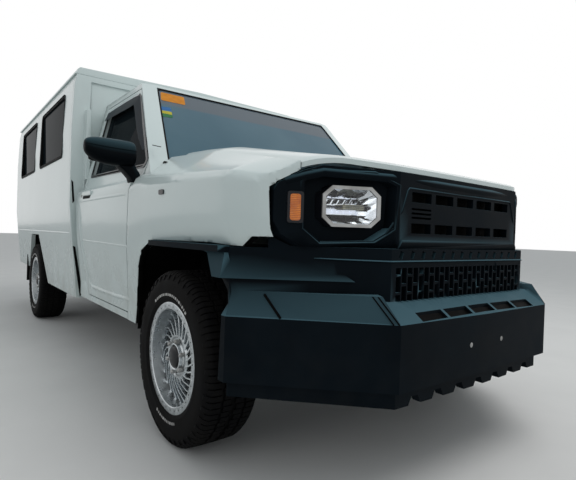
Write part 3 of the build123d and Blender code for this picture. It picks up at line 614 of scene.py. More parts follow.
def plastic_finish(lift=1.0, rough=0.44):
    """Satin plastic, with a painted sky reflection, lighter and bluer, on faces that point up."""
    base = scaled(tuple(settings().finish.plastic_colour), lift)
    top = scaled(tuple(settings().finish.painted_sky_reflection_colour), lift)
    made = Finish(Specular_IOR_Level=0.035)
    patch = made.span(made.noise(5, 5), 0.35, 0.7)
    low = made.span(made.axis("Z"), 0.75, 0.3)
    dust = made.math("MULTIPLY", low, made.span(made.noise(14, 6), 0.4, 0.8))
    colour = made.mix(patch, base, scaled(base, 1.45))
    # Painted reflection: the more a face points up, the more it takes the sky colour
    with_painted_reflection = made.mix(made.span(made.upward(), 0.08, 0.62), colour, top)
    made.into("Base Color", made.mix(made.math("MULTIPLY", dust, 0.035), with_painted_reflection, (0.10, 0.095, 0.085)))
    made.into("Roughness", made.span(patch, 0, 1, rough, rough + 0.12))
    made.bump(made.noise(650, 2), 0.12, 0.0006)
    return made.material


def rubber_finish(tone=0.006):
    colours = (tone, tone, tone), (tone * 1.8, tone * 1.75, tone * 1.65)
    return grained((18, 5, 0.3, 0.75), colours, (0.55, 0.72), ("noise", (500, 2), 0.12, 0.0006),
                   Specular_IOR_Level=0.04)


def alloy_finish(tone=0.6, rough=0.24):
    return grained((36, 5, 0.35, 0.7),
                   ((tone * 0.92, tone * 0.97, tone), (tone * 0.66, tone * 0.71, tone * 0.73)),
                   (rough, rough + 0.2), ("noise", (180, 3), 0.06, 0.0006), Metallic=0.92)


def lens_finish(bright, deep, glow=0.0):
    """A fluted coloured lens."""
    made = Finish(Transmission_Weight=0.25, IOR=1.45, Coat_Weight=0.4, Emission_Strength=glow,
                  Emission_Color=(*bright, 1))
    flute = made.wave(55, "Z")
    spot = made.span(made.noise(30, 3), 0.3, 0.7)
    made.into("Base Color", made.mix(made.math("MULTIPLY", flute, spot), deep, bright))
    made.into("Roughness", made.span(spot, 0, 1, 0.12, 0.24))
    made.bump(flute, 0.35, 0.002)
    return made.material


def side_glass_finish():
    tint = tuple(settings().finish.glass_colour)
    return grained((3.5, 4, 0.35, 0.75), (tint, scaled(tint, 1.5)), (0.02, 0.06),
                   Transmission_Weight=0.35, IOR=1.03, Specular_IOR_Level=0.5)


def screen_finish():
    """The blue windscreen, its own tint mixed with painted sky reflection, with its darker band along the
    top, and the smoked panes of the passenger body.
    """
    tint = tuple(settings().finish.glass_colour)
    made = Finish(Transmission_Weight=0.28)
    haze = made.span(made.noise(2.2, 3), 0.3, 0.75)
    # Painted sky reflection mixed into the windscreen's own blue tint
    body = made.mix(haze, (0.055, 0.145, 0.20), (0.09, 0.19, 0.245))
    edge = made.math("ADD", made.axis("Z"), made.math("MULTIPLY", made.noise(3, 2), 0.01))
    top_band = made.span(edge, 1.548, 1.562)
    front = made.span(made.axis("Y"), -0.5, -0.52)
    screen = made.mix(made.math("MULTIPLY", top_band, front), body, (0.125, 0.16, 0.19))
    made.into("Base Color", made.mix(front, made.mix(haze, tint, scaled(tint, 1.5)), screen))
    made.into("IOR", made.span(front, 0, 1, 1.03, 1.3))
    made.into("Roughness", made.span(haze, 0, 1, 0.02, 0.07))
    return made.material


def steel_finish(dark, light, rough, rust, metal=0.4):
    """Painted or bare steel with patches of rust."""
    made = Finish(Metallic=metal)
    patch = made.span(made.noise(16, 6), 0.35, 0.7)
    rusty = made.math("MULTIPLY", made.span(made.noise(9, 8), 0.56, 0.72), rust)
    made.into("Base Color", made.mix(rusty, made.mix(patch, dark, light), (0.16, 0.07, 0.03)))
    made.into("Roughness", made.span(patch, 0, 1, rough, rough + 0.22))
    made.bump(made.noise(160, 5), 0.2, 0.001)
    return made.material


def floor_finish():
    """Scuffed floor paint, with painted shade, near black, below the floor and in the wheel boxes."""
    made = Finish()
    scuff = made.span(made.noise(20, 7), 0.45, 0.75)
    colour = made.mix(scuff, (0.26, 0.27, 0.27), (0.16, 0.155, 0.145))
    # Painted shade: near black under the floor and in the wheel boxes over the rear wheels
    outboard = made.span(made.math("ABSOLUTE", made.axis("X")), 0.612, 0.614)
    under = made.math("MULTIPLY", made.span(made.axis("Z"), 0.795, 0.793), outboard)
    painted_shade = made.math("MAXIMUM", under, made.span(made.axis("Z"), 0.612, 0.610))
    made.into("Base Color", made.mix(painted_shade, colour, (0.008, 0.008, 0.009)))
    made.into("Roughness", made.span(scuff, 0, 1, 0.45, 0.75))
    made.bump(made.wave(26, "X"), 0.3, 0.002)
    return made.material


def banded_sticker_finish():
    """A small blank sticker, blue above, yellow between and green below."""
    made = Finish(Specular_IOR_Level=0.2)
    height = made.math("ADD", made.axis("Z"), made.math("MULTIPLY", made.noise(40, 2), 0.008))
    low = made.mix(made.span(height, 1.486, 1.49), (0.02, 0.14, 0.05), (0.45, 0.40, 0.03))
    made.into("Base Color", made.mix(made.span(height, 1.506, 1.51), low, (0.02, 0.12, 0.32)))
    made.into("Roughness", made.span(made.noise(30, 3), 0.3, 0.7, 0.35, 0.5))
    return made.material


FINISHES = {
    "paint": paint_finish,
    "plastic": plastic_finish,
    "dull_plastic": lambda: plastic_finish(1.15, 0.5),
    "mirror_shell": lambda: plastic_finish(0.5, 0.34),
    "gloss_black": lambda: grained(
        (6, 4, 0.35, 0.7), ((0.003, 0.0035, 0.005), (0.006, 0.007, 0.010)), (0.22, 0.32),
        ("noise", (380, 1), 0.03, 0.0008), Coat_Weight=0.1, Coat_Roughness=0.1, Specular_IOR_Level=0.25),
    "smoke": lambda: grained(
        (7, 4, 0.35, 0.7), ((0.010, 0.015, 0.020), (0.020, 0.027, 0.034)), (0.4, 0.5),
        ("noise", (300, 1), 0.04, 0.0008), Specular_IOR_Level=0.04),
    "rubber": rubber_finish,
    # Near black, for dark joints and for painted shade in recesses, arches, gaps and behind openings
    "gap": lambda: rubber_finish(0.0015),
    "tyre": lambda: grained(
        (11, 6, 0.35, 0.75), ((0.004, 0.004, 0.0045), (0.010, 0.0095, 0.009)), (0.62, 0.85),
        ("noise", (260, 3), 0.2, 0.0008), Specular_IOR_Level=0.05),
    "mark": lambda: grained((60, 5, 0.45, 0.75), ((0.52, 0.51, 0.49), (0.16, 0.155, 0.15)), (0.6, 0.8)),
    "alloy": alloy_finish,
    "bright_alloy": lambda: alloy_finish(0.8, 0.16),
    "chrome": lambda: grained(
        (22, 3, 0.3, 0.7), ((0.86, 0.88, 0.9), (0.62, 0.66, 0.69)), (0.05, 0.14),
        ("wave", (60, "X", 1.5), 0.04, 0.001), Metallic=1.0),
    "mirror": lambda: grained(
        (20, 4, 0.4, 0.8), ((0.85, 0.87, 0.88), (0.7, 0.73, 0.75)), (0.02, 0.06), Metallic=1.0),
    "clear": lambda: grained(
        (16, 4, 0.45, 0.8), ((0.97, 0.985, 1.0), (0.90, 0.93, 0.94)), (0.01, 0.05),
        Transmission_Weight=1.0, IOR=1.35),
    "projector": lambda: lens_finish((0.62, 0.58, 0.36), (0.16, 0.17, 0.13)),
    "amber": lambda: lens_finish((1.0, 0.30, 0.015), (0.48, 0.085, 0.004), 0.08),
    "red": lambda: lens_finish((0.55, 0.012, 0.012), (0.16, 0.003, 0.004)),
    "white_lens": lambda: lens_finish((0.75, 0.76, 0.74), (0.45, 0.46, 0.45)),
    "light_strip": lambda: lens_finish((0.9, 0.93, 1.0), (0.7, 0.75, 0.85), 0.4),
    "side_glass": side_glass_finish,
    "screen": screen_finish,
    "chassis": lambda: steel_finish((0.012, 0.012, 0.013), (0.03, 0.029, 0.027), 0.5, 0.3),
    "iron": lambda: steel_finish((0.05, 0.05, 0.052), (0.10, 0.098, 0.095), 0.5, 0.35, 0.6),
    "zinc": lambda: steel_finish((0.42, 0.43, 0.43), (0.30, 0.30, 0.29), 0.32, 0.08, 0.9),
    "vinyl": lambda: grained(
        (9, 5, 0.3, 0.75), ((0.035, 0.036, 0.04), (0.06, 0.062, 0.068)), (0.48, 0.62),
        ("cells", (420,), 0.35, 0.0008), Sheen_Weight=0.1),
    "trim": lambda: grained(
        (8, 4, 0.35, 0.7), ((0.10, 0.105, 0.11), (0.14, 0.145, 0.15)), (0.55, 0.7),
        ("cells", (500,), 0.2, 0.0006)),
    "floor": floor_finish,
    "orange_sticker": lambda: grained(
        (30, 4, 0.35, 0.75), ((0.62, 0.23, 0.006), (0.50, 0.17, 0.006)), (0.3, 0.45),
        Specular_IOR_Level=0.15),
    "round_sticker": banded_sticker_finish,
}

# The material slot that a finish usually goes with
SLOTS = {
    "paint": "body_paint", "vinyl": "seat_vinyl", "chassis": "chassis_black", "zinc": "alloy",
    "bright_alloy": "alloy", "chrome": "clear_lens", "clear": "clear_lens", "projector": "clear_lens",
    "light_strip": "clear_lens", "white_lens": "clear_lens", "plastic": "black_plastic",
    "dull_plastic": "black_plastic", "mirror_shell": "black_plastic", "gloss_black": "black_plastic",
    "smoke": "black_plastic", "rubber": "black_plastic", "gap": "black_plastic", "trim": "black_plastic",
}
NO_SLOT = ""


def finish(name):
    """The named finish, made once."""
    key = "vehicle " + name
    made = bpy.data.materials.get(key)
    if made is None:
        made = FINISHES[name]()
        made.name = key
    return made


def paint_node(node, kind):
    """Give a CAD node that stays in view its finish."""
    obj = NODES[node]
    obj.data.materials.clear()
    obj.data.materials.append(finish(kind))


def finish_piece(obj, body, kind, slot=None, stands_for=()):
    """Give a piece its finish and body, and hide the CAD nodes that it stands for."""
    obj.data.materials.clear()
    obj.data.materials.append(finish(kind))
    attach(obj, body)
    slot = SLOTS.get(kind) if slot is None else slot
    if stands_for:
        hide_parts(*stands_for)
    return obj


def piece(name, shape, kind, body="chassis", slot=None, stands_for=(), crease=35):
    return finish_piece(new_object(name, shape, crease), body, kind, slot, stands_for)


def row_piece(name, pattern, kind, count, step, shift, slot=None):
    """A row of one pattern; the step and the shift are in metres."""
    row = repeated(name, pattern, kind, Count=count, Step=step)
    return finish_piece(moved(row, shift), "chassis", kind, slot)


# Painted body
PAINTED = ("cab_shell", "cab_roof", "van_front_wall", "van_roof", "van_side_left", "van_side_right",
           "door_left", "door_right", "rear_door_left", "rear_door_right")
# Pressed lines on the door: (y, z) path, width and height
DOOR_LINES = (
    ([(1476, 1000), (1468, 940), (1452, 830), (1428, 705), (1386, 610), (1334, 520), (1300, 494), (1250, 484),
      (1072, 482), (820, 484), (580, 490)], 28, 9.0),
    ([(1452, 766), (1380, 764), (1000, 762), (620, 759), (560, 758)], 14, 1.4),
    ([(1452, 1012), (1380, 1014), (1000, 1016), (620, 1016), (560, 1015)], 20, 2.4))
# The fender's lower edge is tucked in by a share of its depth below a height, ahead of the door
TUCK_Z, TUCK_DEPTH, TUCK_SHARE = 858, 58.0, 0.42
TUCK_END, TUCK_FADE = 300, 140
# The wheel arch's edge ends at a height and starts at a place; the painted shade inside the fender ends
# before the door
ARCH_TOP, ARCH_FRONT, DARK_END = 862, -470, 525
# Points of the fender that are smoothed: fold of their edges below, in radians, and place before, in metres
FREE_FOLD, FREE_END = 0.9, 0.46
# Planes that dice the fender for smoothing: normal, first, end and step in millimetres of the frame
FENDER_CUTS = (((0, 1, 0), -2340, -1130, 36), ((0, 0, 1), 690, 1230, 36), ((1, 0, 0), -860, -700, 32),
               ((1, 0, 0), 700, 870, 32))
# The near-black lining over the front wheel, painted shade in the arch: (y, z) path with the (y, z) push of
# its thickness
SHADE_LINER = (((500, 392), (9, 0)), ((492, 560), (9, 2)), ((440, 676), (7, 5)), ((380, 744), (6, 6)),
         ((270, 788), (2, 8)), ((0, 796), (0, 8)), ((-230, 796), (0, 8)), ((-370, 790), (0, 8)))
LINER_IN = 535
# How far the lining stays inside the cab's side, and how much more by the front wheel
LINER_INSET, NOSE_INSET = 31, 17
# Near-black walls behind the front wheel, painted shade: a box by the door post, and the (y, z) outline that
# closes off the engine bay
DOOR_POST_SHADE_WALL = (560, 846, 470, 474, 366, 690)
ENGINE_BAY_SHADE_WALL = [(-540, 640), (-540, 790), (-370, 793), (270, 790), (380, 746), (440, 680), (462, 640)]


class PaintedBody(bpy.types.Operator):
    """Paint the cab, fenders, doors and passenger body, with softened panel edges"""
    bl_idname = "vehicle.painted_body"
    bl_label = "Painted body"

    def execute(self, context):
        radius = settings().finish.edge_radius
        for node in PAINTED:
            body = node if "door" in node else "chassis"
            skinned = softened(node, radius, merged=node != "van_front_wall")
            finish_piece(skinned, body, "paint", stands_for=[node])
        for word, side in SIDES:
            self.fender(word, side)
            for number, (path, width, height) in enumerate(DOOR_LINES):
                shape = add_crease(bmesh.new(), path, on_side(cab_side_x, side), width, height)
                piece(f"door_crease_{number}_{word}", shape, "paint", "door_" + word, crease=60)
            self.arch_shade_liner(word, side)
        return {"FINISHED"}

    def fender(self, word, side):
        """The fender, with painted shade, near black, inside it and along the wheel arch's edge."""
        fender = softened("fender_" + word, 0.003, rework=self.fender_form)
        finish_piece(fender, "chassis", "paint", stands_for=["fender_" + word])
        fender.data.materials.append(finish("gap"))
        for face in fender.data.polygons:
            y, z = (face.center.y - AXLE_Y) * 1000, face.center.z * 1000
            arch_edge = abs(face.normal.x) < 0.3 and z < ARCH_TOP and y > ARCH_FRONT
            inside = face.normal.x * side < -0.3 or face.normal.z < -0.7
            # Painted shade: the fender's inside and the arch's edge take the near-black finish
            if y < DARK_END and (arch_edge or inside):
                face.material_index = 1

    def fender_form(self, shape):
        """Round the fender's shoulder and nose and tuck its lower edge under."""
        def cut(point, normal):
            everything = shape.verts[:] + shape.edges[:] + shape.faces[:]
            bmesh.ops.bisect_plane(shape, geom=everything, plane_co=point, plane_no=normal)

        cut((0, 0, TUCK_Z / 1000), (0, 0, 1))
        for vert in shape.verts:
            y, z = (vert.co.y - AXLE_Y) * 1000, vert.co.z * 1000
            tuck = max(0.0, min(TUCK_DEPTH, TUCK_Z - z)) * TUCK_SHARE
            inward = tuck * clamp((TUCK_END - y) / TUCK_FADE)
            vert.co.x -= math.copysign(inward / 1000, vert.co.x)
        for normal, low, high, step in FENDER_CUTS:
            for value in range(low, high, step):
                cut(Vector(normal) * (value / 1000), normal)
        bmesh.ops.triangulate(shape, faces=[f for f in shape.faces if len(f.verts) > 4])

        def is_free(vert):
            soft = all(e.is_manifold and e.calc_face_angle(9) < FREE_FOLD for e in vert.link_edges)
            return soft and vert.co.y - AXLE_Y < FREE_END

        free = [v for v in shape.verts if is_free(v)]
        axes = {"use_axis_" + axis: True for axis in "xyz"}
        for _ in range(6):
            bmesh.ops.smooth_vert(shape, verts=free, factor=0.5, **axes)

    def arch_shade_liner(self, word, side):
        """The near-black lining over the front wheel and the walls that close off the door post and the
        engine bay, painted shade in the wheel arch.
        """
        loops = []
        for (y, z), (ay, az) in SHADE_LINER:
            x_out = cab_side_x(y, z) - LINER_INSET - clamp((400 - y) / 120) * NOSE_INSET
            section = ((LINER_IN, 0), (x_out, 0), (x_out, 0.5), (LINER_IN, 0.5))
            loops.append([at(side * x, y + ay * share, z + az * share) for x, share in section])
        shape = add_loft(bmesh.new(), loops)
        add_box(shape, DOOR_POST_SHADE_WALL, side)
        add_plate(shape, ENGINE_BAY_SHADE_WALL, on_side(same(LINER_IN), side), -4)
        piece("arch_liner_" + word, shape, "gap")


HOOD_HALF = 699.7
HOOD_REAR = 352
HOOD_CREST = [(-740, 1073), (-600, 1101), (-388, 1138), (-180, 1175), (0, 1208), (180, 1223), (352, 1232)]
HOOD_THICK = 24
HOOD_ROLL = 7
HOOD_COLUMNS, HOOD_ROWS = 56, 40
# Across the hood: the crown's rise over the crest, half width and fall, then the shoulder's width and fall
CROWN_RISE, CROWN_HALF, CROWN_FALL = 12, 540, 3.5
SHOULDER_WIDTH, SHOULDER_FALL = 160, 34.5
JET_X, JET_Y = 400, 150
JET = [(0, -2), (13, -2), (13, 2), (9, 6), (0, 7)]
# By the windscreen's lower corner: the seal's (y, z) outline and half widths, and the pillar seam's path
CORNER_SEAL = [(468, 1108), (440, 1120), (392, 1150), (398, 1172), (432, 1180), (462, 1150)]
CORNER_LOW, CORNER_RUN = 1108, 70
CORNER_X = (770, 748)
PILLAR_SEAM = ((787, 505, 1262), (783, 470, 1254), (770, 440, 1247))


def hood_z(x, y):
    """Height of the hood's skin: the crest's rise towards the screen and the crown across."""
    crest = table_value(HOOD_CREST, y)
    across = abs(x)
    if across < CROWN_HALF:
        return crest + CROWN_RISE - CROWN_FALL * (across / CROWN_HALF) ** 2
    beyond = (across - CROWN_HALF) / SHOULDER_WIDTH
    return crest + (CROWN_RISE - CROWN_FALL) - SHOULDER_FALL * beyond ** 2.1


class Hood(bpy.types.Operator):
    """Press the hood's skin as one smooth crowned sheet with rolled edges, and add its jets and seals"""
    bl_idname = "vehicle.hood"
    bl_label = "Hood"

    def execute(self, context):
        shape = bmesh.new()
        top, low = self.grid(shape, 0), self.grid(shape, 1)
        faces = []

        def quad(*corners):
            faces.append(shape.faces.new(corners))

        for i in range(HOOD_COLUMNS):
            for j in range(HOOD_ROWS):
                quad(top[i][j], top[i + 1][j], top[i + 1][j + 1], top[i][j + 1])
                quad(low[i][j], low[i][j + 1], low[i + 1][j + 1], low[i + 1][j])
            quad(top[i + 1][0], top[i][0], low[i][0], low[i + 1][0])
            quad(top[i][-1], top[i + 1][-1], low[i + 1][-1], low[i][-1])
        for j in range(HOOD_ROWS):
            quad(top[0][j], top[0][j + 1], low[0][j + 1], low[0][j])
            quad(top[-1][j + 1], top[-1][j], low[-1][j], low[-1][j + 1])
        bmesh.ops.recalc_face_normals(shape, faces=faces)
        piece("skin_hood", shape, "paint", "hood", stands_for=["hood"], crease=50)
        for word, side in SIDES:
            shape = add_lathe(bmesh.new(), JET, 20, "Z")
            bmesh.ops.scale(shape, verts=shape.verts, vec=(1, 0.6, 1))
            spot = at(side * JET_X, JET_Y, hood_z(JET_X, JET_Y))
            finish_piece(moved(new_object("washer_jet_" + word, shape, 50), spot), "hood", "rubber")
            place = on_side(lambda y, z: lerp(*CORNER_X, (z - CORNER_LOW) / CORNER_RUN), side)
            piece("screen_corner_seal_" + word, add_plate(bmesh.new(), CORNER_SEAL, place, 8), "rubber")
            shape = add_tube(bmesh.new(), places(PILLAR_SEAM, side), 0.0022, 6)
            piece("pillar_seam_" + word, shape, "gap", slot="body_paint")
        return {"FINISHED"}

    def grid(self, shape, lower):
        """The hood's upper face, with its edges rolled down, or its lower face."""
        columns = []
        for i in range(HOOD_COLUMNS + 1):
            column = []
            x = -HOOD_HALF + 2 * HOOD_HALF * i / HOOD_COLUMNS
            front = panel_y(x) + 6.2
            for j in range(HOOD_ROWS + 1):
                y = lerp(front, HOOD_REAR, j / HOOD_ROWS)
                edge = min(y - front, HOOD_REAR - y, HOOD_HALF - abs(x))
                drop = HOOD_ROLL - math.sqrt(max(0.0, HOOD_ROLL ** 2 - max(0.0, HOOD_ROLL - edge) ** 2))
                z = hood_z(x, y) - (HOOD_THICK if lower else min(drop, HOOD_ROLL))
                column.append(shape.verts.new(at(x, y, z)))
            columns.append(column)
        return columns


# Black front, with paths of (x, z) points
def both_ways(half):
    """A path across the vehicle from its left half, which starts on the centre line."""
    return [(-x, z) for x, z in half[:0:-1]] + half


PANEL_TOP = both_ways([(0, 1040), (200, 1040), (420, 1042), (636, 1048), (690, 1032), (748, 1010)])
MESH_LEDGE = both_ways([(0, 763), (439, 763), (441, 763), (600, 765), (650, 766)])
FIELD_EDGE = [(0, 1012), (200, 1012), (344, 1012), (352, 1004), (378, 934), (428, 862), (436, 850)]
LAMP_POCKET = [(672, 1050), (476, 1055), (396, 1018), (404, 868), (472, 822), (644, 814), (698, 862),
               (700, 1012), (672, 1050)]
# Beads on each side of the panel: path, width and height
SIDE_BEADS = ((FIELD_EDGE, 11, 3.2), (LAMP_POCKET, 13, 4))
CORE_FRONT = [(0, -722), (440, -722), (600, -618), (860, -402)]
# Near-black backing behind the grille's slots and the mesh, painted shade inside the openings, and the (y, z)
# section of that in the bumper's slots
SHADE_BACKING = ((-352, 352, -668, -660, 850, 1010), (-430, 430, -682, -678, 602, 798))
SLOT_BACKING = ((-808.5, 566), (-776.5, 590), (-776.5, 560), (-808.5, 540))
SLOT_COUNT, SLOT_STEP, SLOT_WIDTH = 5, 155, 139
# The bumper's seams: upper end, lower end and radius
BUMPER_SEAMS = (((778, -485.2, 646), (757, -548.2, 576), 0.0042),
                ((516, -736.2, 654), (494, -807.2, 574), 0.0022),
                ((528, -723.2, 654), (507, -795.2, 574), 0.0022))
SCREW = [(0, 0), (9, 0), (9, -6.4), (6.5, -6.8), (6.5, -7.4), (5, -7.9), (0, -7.9)]
SCREW_X, SCREW_Y, SCREW_Z = 105, -812, 470


class FrontPanels(bpy.types.Operator):
    """Finish the grille panel, bumper and cowl, with softened edges and the bumper's seams"""
    bl_idname = "vehicle.front_panels"
    bl_label = "Front panels"

    def execute(self, context):
        radius = settings().finish.edge_radius
        for node, kind in (("grille_panel", "plastic"), ("front_bumper", "dull_plastic"), ("cowl", "rubber")):
            finish_piece(softened(node, radius * 0.9), "chassis", kind, stands_for=[node])
        # Near-black backing behind the openings: painted shade
        shape = bmesh.new()
        for span in SHADE_BACKING:
            add_box(shape, span)
        for column in range(SLOT_COUNT):
            x = (column - SLOT_COUNT // 2) * SLOT_STEP - SLOT_WIDTH / 2
            add_prism(shape, [at(x, y, z) for y, z in SLOT_BACKING], Vector((SLOT_WIDTH / 1000, 0, 0)))
        piece("grille_backing", shape, "gap")

        on_face = on_wall(panel_y, way=-1)
        shape = add_crease(bmesh.new(), PANEL_TOP, on_face, 30, 7)
        for side in (-1, 1):
            for path, width, height in SIDE_BEADS:
                add_crease(shape, [(side * x, z) for x, z in path], on_face, width, height)
        piece("panel_beads", shape, "plastic", crease=60)

        on_core = on_wall(lambda x, z: table_value(CORE_FRONT, abs(x)), way=-1)
        piece("mesh_ledge", add_crease(bmesh.new(), MESH_LEDGE, on_core, 9, 6), "dull_plastic", crease=60)
        shape = bmesh.new()
        for side in (-1, 1):
            for *ends, radius in BUMPER_SEAMS:
                add_tube(shape, places(ends, side), radius, 6)
        piece("bumper_seams", shape, "gap")
        screw = add_lathe(bmesh.new(), SCREW, 12, "Y")
        row_piece("plate_screws", screw, "zinc", 2, (2 * SCREW_X / 1000, 0, 0),
                  at(-SCREW_X, SCREW_Y, SCREW_Z), NO_SLOT)
        return {"FINISHED"}


# Glass
STICKERS = (
    ("blank_sticker_upper", "orange_sticker", [(-618, 1638), (-474, 1638), (-487, 1578), (-634, 1578)]),
    ("blank_sticker_lower", "round_sticker", [(-652, 1530), (-592, 1534), (-604, 1464), (-664, 1460)]))
# Wipers: name, and x of the pivot and of the tip
WIPERS = (("wiper_right", -420, -30), ("wiper_left", 230, 620))
WIPER_BOSS = [(0, -4), (17, -4), (17, 6), (12, 12), (0, 12)]
SEAL_INSET = 12
WIPER_LOW, WIPER_HIGH = 1176, 1192


class Glazing(bpy.types.Operator):
    """Tint the panes, edge the windscreen and add its two blank stickers and the wipers"""
    bl_idname = "vehicle.glazing"
    bl_label = "Glass"

    def execute(self, context):
        paint_node("fixed_glass", "screen")
        for word, _ in SIDES:
            paint_node("door_glass_" + word, "side_glass")
            paint_node("rear_door_glass_" + word, "side_glass")
        low, high = screen_x(SCREEN_LOW) - SEAL_INSET, screen_x(SCREEN_HIGH) - SEAL_INSET
        outline = [(low, SCREEN_LOW), (high, SCREEN_HIGH), (-high, SCREEN_HIGH), (-low, SCREEN_LOW)]
        shape = band(bmesh.new(), outline, (-8, 24), (-1, 26), on_wall(screen_y, lift=-2), 7, 5)
        piece("windscreen_seal", shape, "rubber")
        for name, kind, corners in STICKERS:
            shape = add_plate(bmesh.new(), rounded(corners, 8, 3), on_wall(screen_y, lift=4.6), 1.0)
            piece(name, shape, kind)
        point = on_wall(screen_y)
        for name, pivot, tip in WIPERS:
            arm = [point(pivot, WIPER_LOW, -16), point(lerp(pivot, tip, 0.5), WIPER_HIGH, -14)]
            blade = [point(lerp(pivot, tip, 0.1), WIPER_HIGH - 2, -5), point(tip, WIPER_HIGH + 12, -5)]
            shape = add_tube(bmesh.new(), arm, 0.006, 8)
            add_tube(shape, blade, 0.005, 6)
            add_lathe(shape, WIPER_BOSS, 16, "Z", arm[0])
            piece(name, shape, "rubber")
        return {"FINISHED"}


# The rain visor: place on the door, reach to its lower edge and lift off the glass
VISOR = ((560, 1252, 26, -8, 4), (640, 1344, 50, -22, 8), (700, 1414, 56, -28, 10), (850, 1590, 50, -44, 13),
         (884, 1616, 34, -66, 15), (960, 1620, 6, -74, 16), (1100, 1621, 0, -74, 17),
         (1300, 1619, 0, -72, 17), (1452, 1616, 0, -64, 13))
VISOR_SHEET = 2.5
# The bright lines on the visor: drop below its upper edge, and radius
VISOR_LINES = ((8, 0.0032), (30, 0.0024))
BELT_STRIP = [(520, 1158), (900, 1166), (1450, 1176)]


class WindowTrim(bpy.types.Operator):
    """Frame the door windows, add their visors and the rubber round the passenger windows"""
    bl_idname = "vehicle.window_trim"
    bl_label = "Window trim"

    def execute(self, context):
        for word, side in SIDES:
            body = "door_" + word
            shape = band(bmesh.new(), WINDOW_OUTLINE, (-7, 18), (12, 30), on_side(cab_side_x, side, -3), 6)
            piece("door_window_frame_" + word, shape, "gloss_black", body)
            shape = add_crease(bmesh.new(), BELT_STRIP, on_side(cab_side_x, side, 2), 14, 7)
            piece("door_belt_strip_" + word, shape, "rubber", body)
            self.visor(word, side, body)
            for number, (y0, y1) in enumerate(VAN_WINDOWS):
                self.pane_rubber(f"{word}_{number}", side, y0, y1)
        return {"FINISHED"}

    def visor(self, word, side, body):
        """The smoked rain visor that stands off the top and front of the door window."""
        rows = []
        for y, z, dy, dz, lift in VISOR:
            x = cab_side_x(y, z)
            middle, outer = x + lift * 0.7, cab_side_x(y + dy, z + dz) + lift
            rows.append([(x + 1, y, z), (middle, y + dy * 0.25, z + dz * 0.25), (outer, y + dy, z + dz),
                         (outer - VISOR_SHEET, y + dy, z + dz),
                         (middle - VISOR_SHEET, y + dy * 0.25, z + dz * 0.3), (x - 1.5, y, z - 2)])
        shape = add_loft(bmesh.new(), [places(row, side) for row in rows])
        piece("door_visor_" + word, shape, "smoke", body, crease=30)
        shape = bmesh.new()
        for drop, radius in VISOR_LINES:
            path = [at(side * (x + 2 + drop * 0.24), y + 2, z - drop) for (x, y, z), *_ in rows[4:]]
            add_tube(shape, path, radius, 8)
        piece("door_visor_line_" + word, shape, "bright_alloy", body)

    def pane_rubber(self, suffix, side, y0, y1):
        outline = rectangle(y0, y1, WINDOW_LOW, WINDOW_HIGH)
        shape = band(bmesh.new(), outline, (-12, 36), (9, 46), on_side(van_side_x, side, -18), 20, 6)
        band(shape, outline, (2, 42), (9, 46), on_side(van_side_x, side, 1), 4, 6)
        piece("pane_rubber_" + suffix, shape, "rubber")
        sill = [at(side * 922, y, WINDOW_LOW + 10) for y in (y0 + 22, y1 - 22)]
        piece("pane_sill_" + suffix, add_tube(bmesh.new(), sill, 0.004, 8), "zinc")


# Lamps
LENS_X, LENS_Z, LENS_W, LENS_H, LENS_CUT = 540, 940, 184, 137, 30
# The reflector's steps: growth of the lens outline, and depth
REFLECTOR_STEPS = ((-8, 18), (-20, 34), (-33, 56), (-43, 72))
# Rings round the lens: name, finish, inner and outer growth of its outline, depth and thickness
LAMP_RINGS = (("housing", "gloss_black", -7, -0.2, 12, 80), ("rim", "zinc", -12, -1.0, 8, 5))
# Dark shelves across the lamp: height from and to, and depth from and to
LAMP_SHELVES = ((-3, 3, 30, 70), (-30, -27, 40, 70))
SHELF_HALF = 74
LAMP_SLAT = ((0, 0), (5, 0), (-3, 16), (-8, 16))
SLAT_COUNT, SLAT_FIRST, SLAT_RISE = 6, 62, 8
# Rows of lit cells: height from the lens's middle, and half height
CELL_ROWS = ((34, 5), (-15, 8))
CELL_COUNT, CELL_FIRST = 7, -60
LAMP_STEP = 20
PROJECTOR = rectangle(LENS_X - 50, LENS_X + 16, LENS_Z - 10, LENS_Z + 8)
LAMP_CORNER = rectangle(698, 740, 883, 978)
REPEATER = rectangle(88, 136, 990, 1010)
# The tail lamp's parts: name, finish, and height from and to
TAIL_LAMP = (("stop", "red", 1020, 1118), ("turn", "amber", 950, 1016), ("reverse", "white_lens", 905, 946),
             ("reflector", "red", 862, 901))
TAIL_LENS = (815, 881, VAN_REAR + 8, VAN_REAR + 29)
TAIL_HOUSING = (812, 884, VAN_REAR + 0.3, VAN_REAR + 12, 860, 1120)


def lamp_outline(grow):
    """The lens's octagon as (x, z) points, offset by grow."""
    w, h, c = LENS_W / 2 + grow, LENS_H / 2 + grow, LENS_CUT + grow * 0.5
    corners = ((w, h - c), (w - c, h), (c - w, h), (-w, h - c),
               (-w, c - h), (c - w, -h), (w - c, -h), (w, c - h))
    return [(LENS_X + x, LENS_Z + z) for x, z in corners]


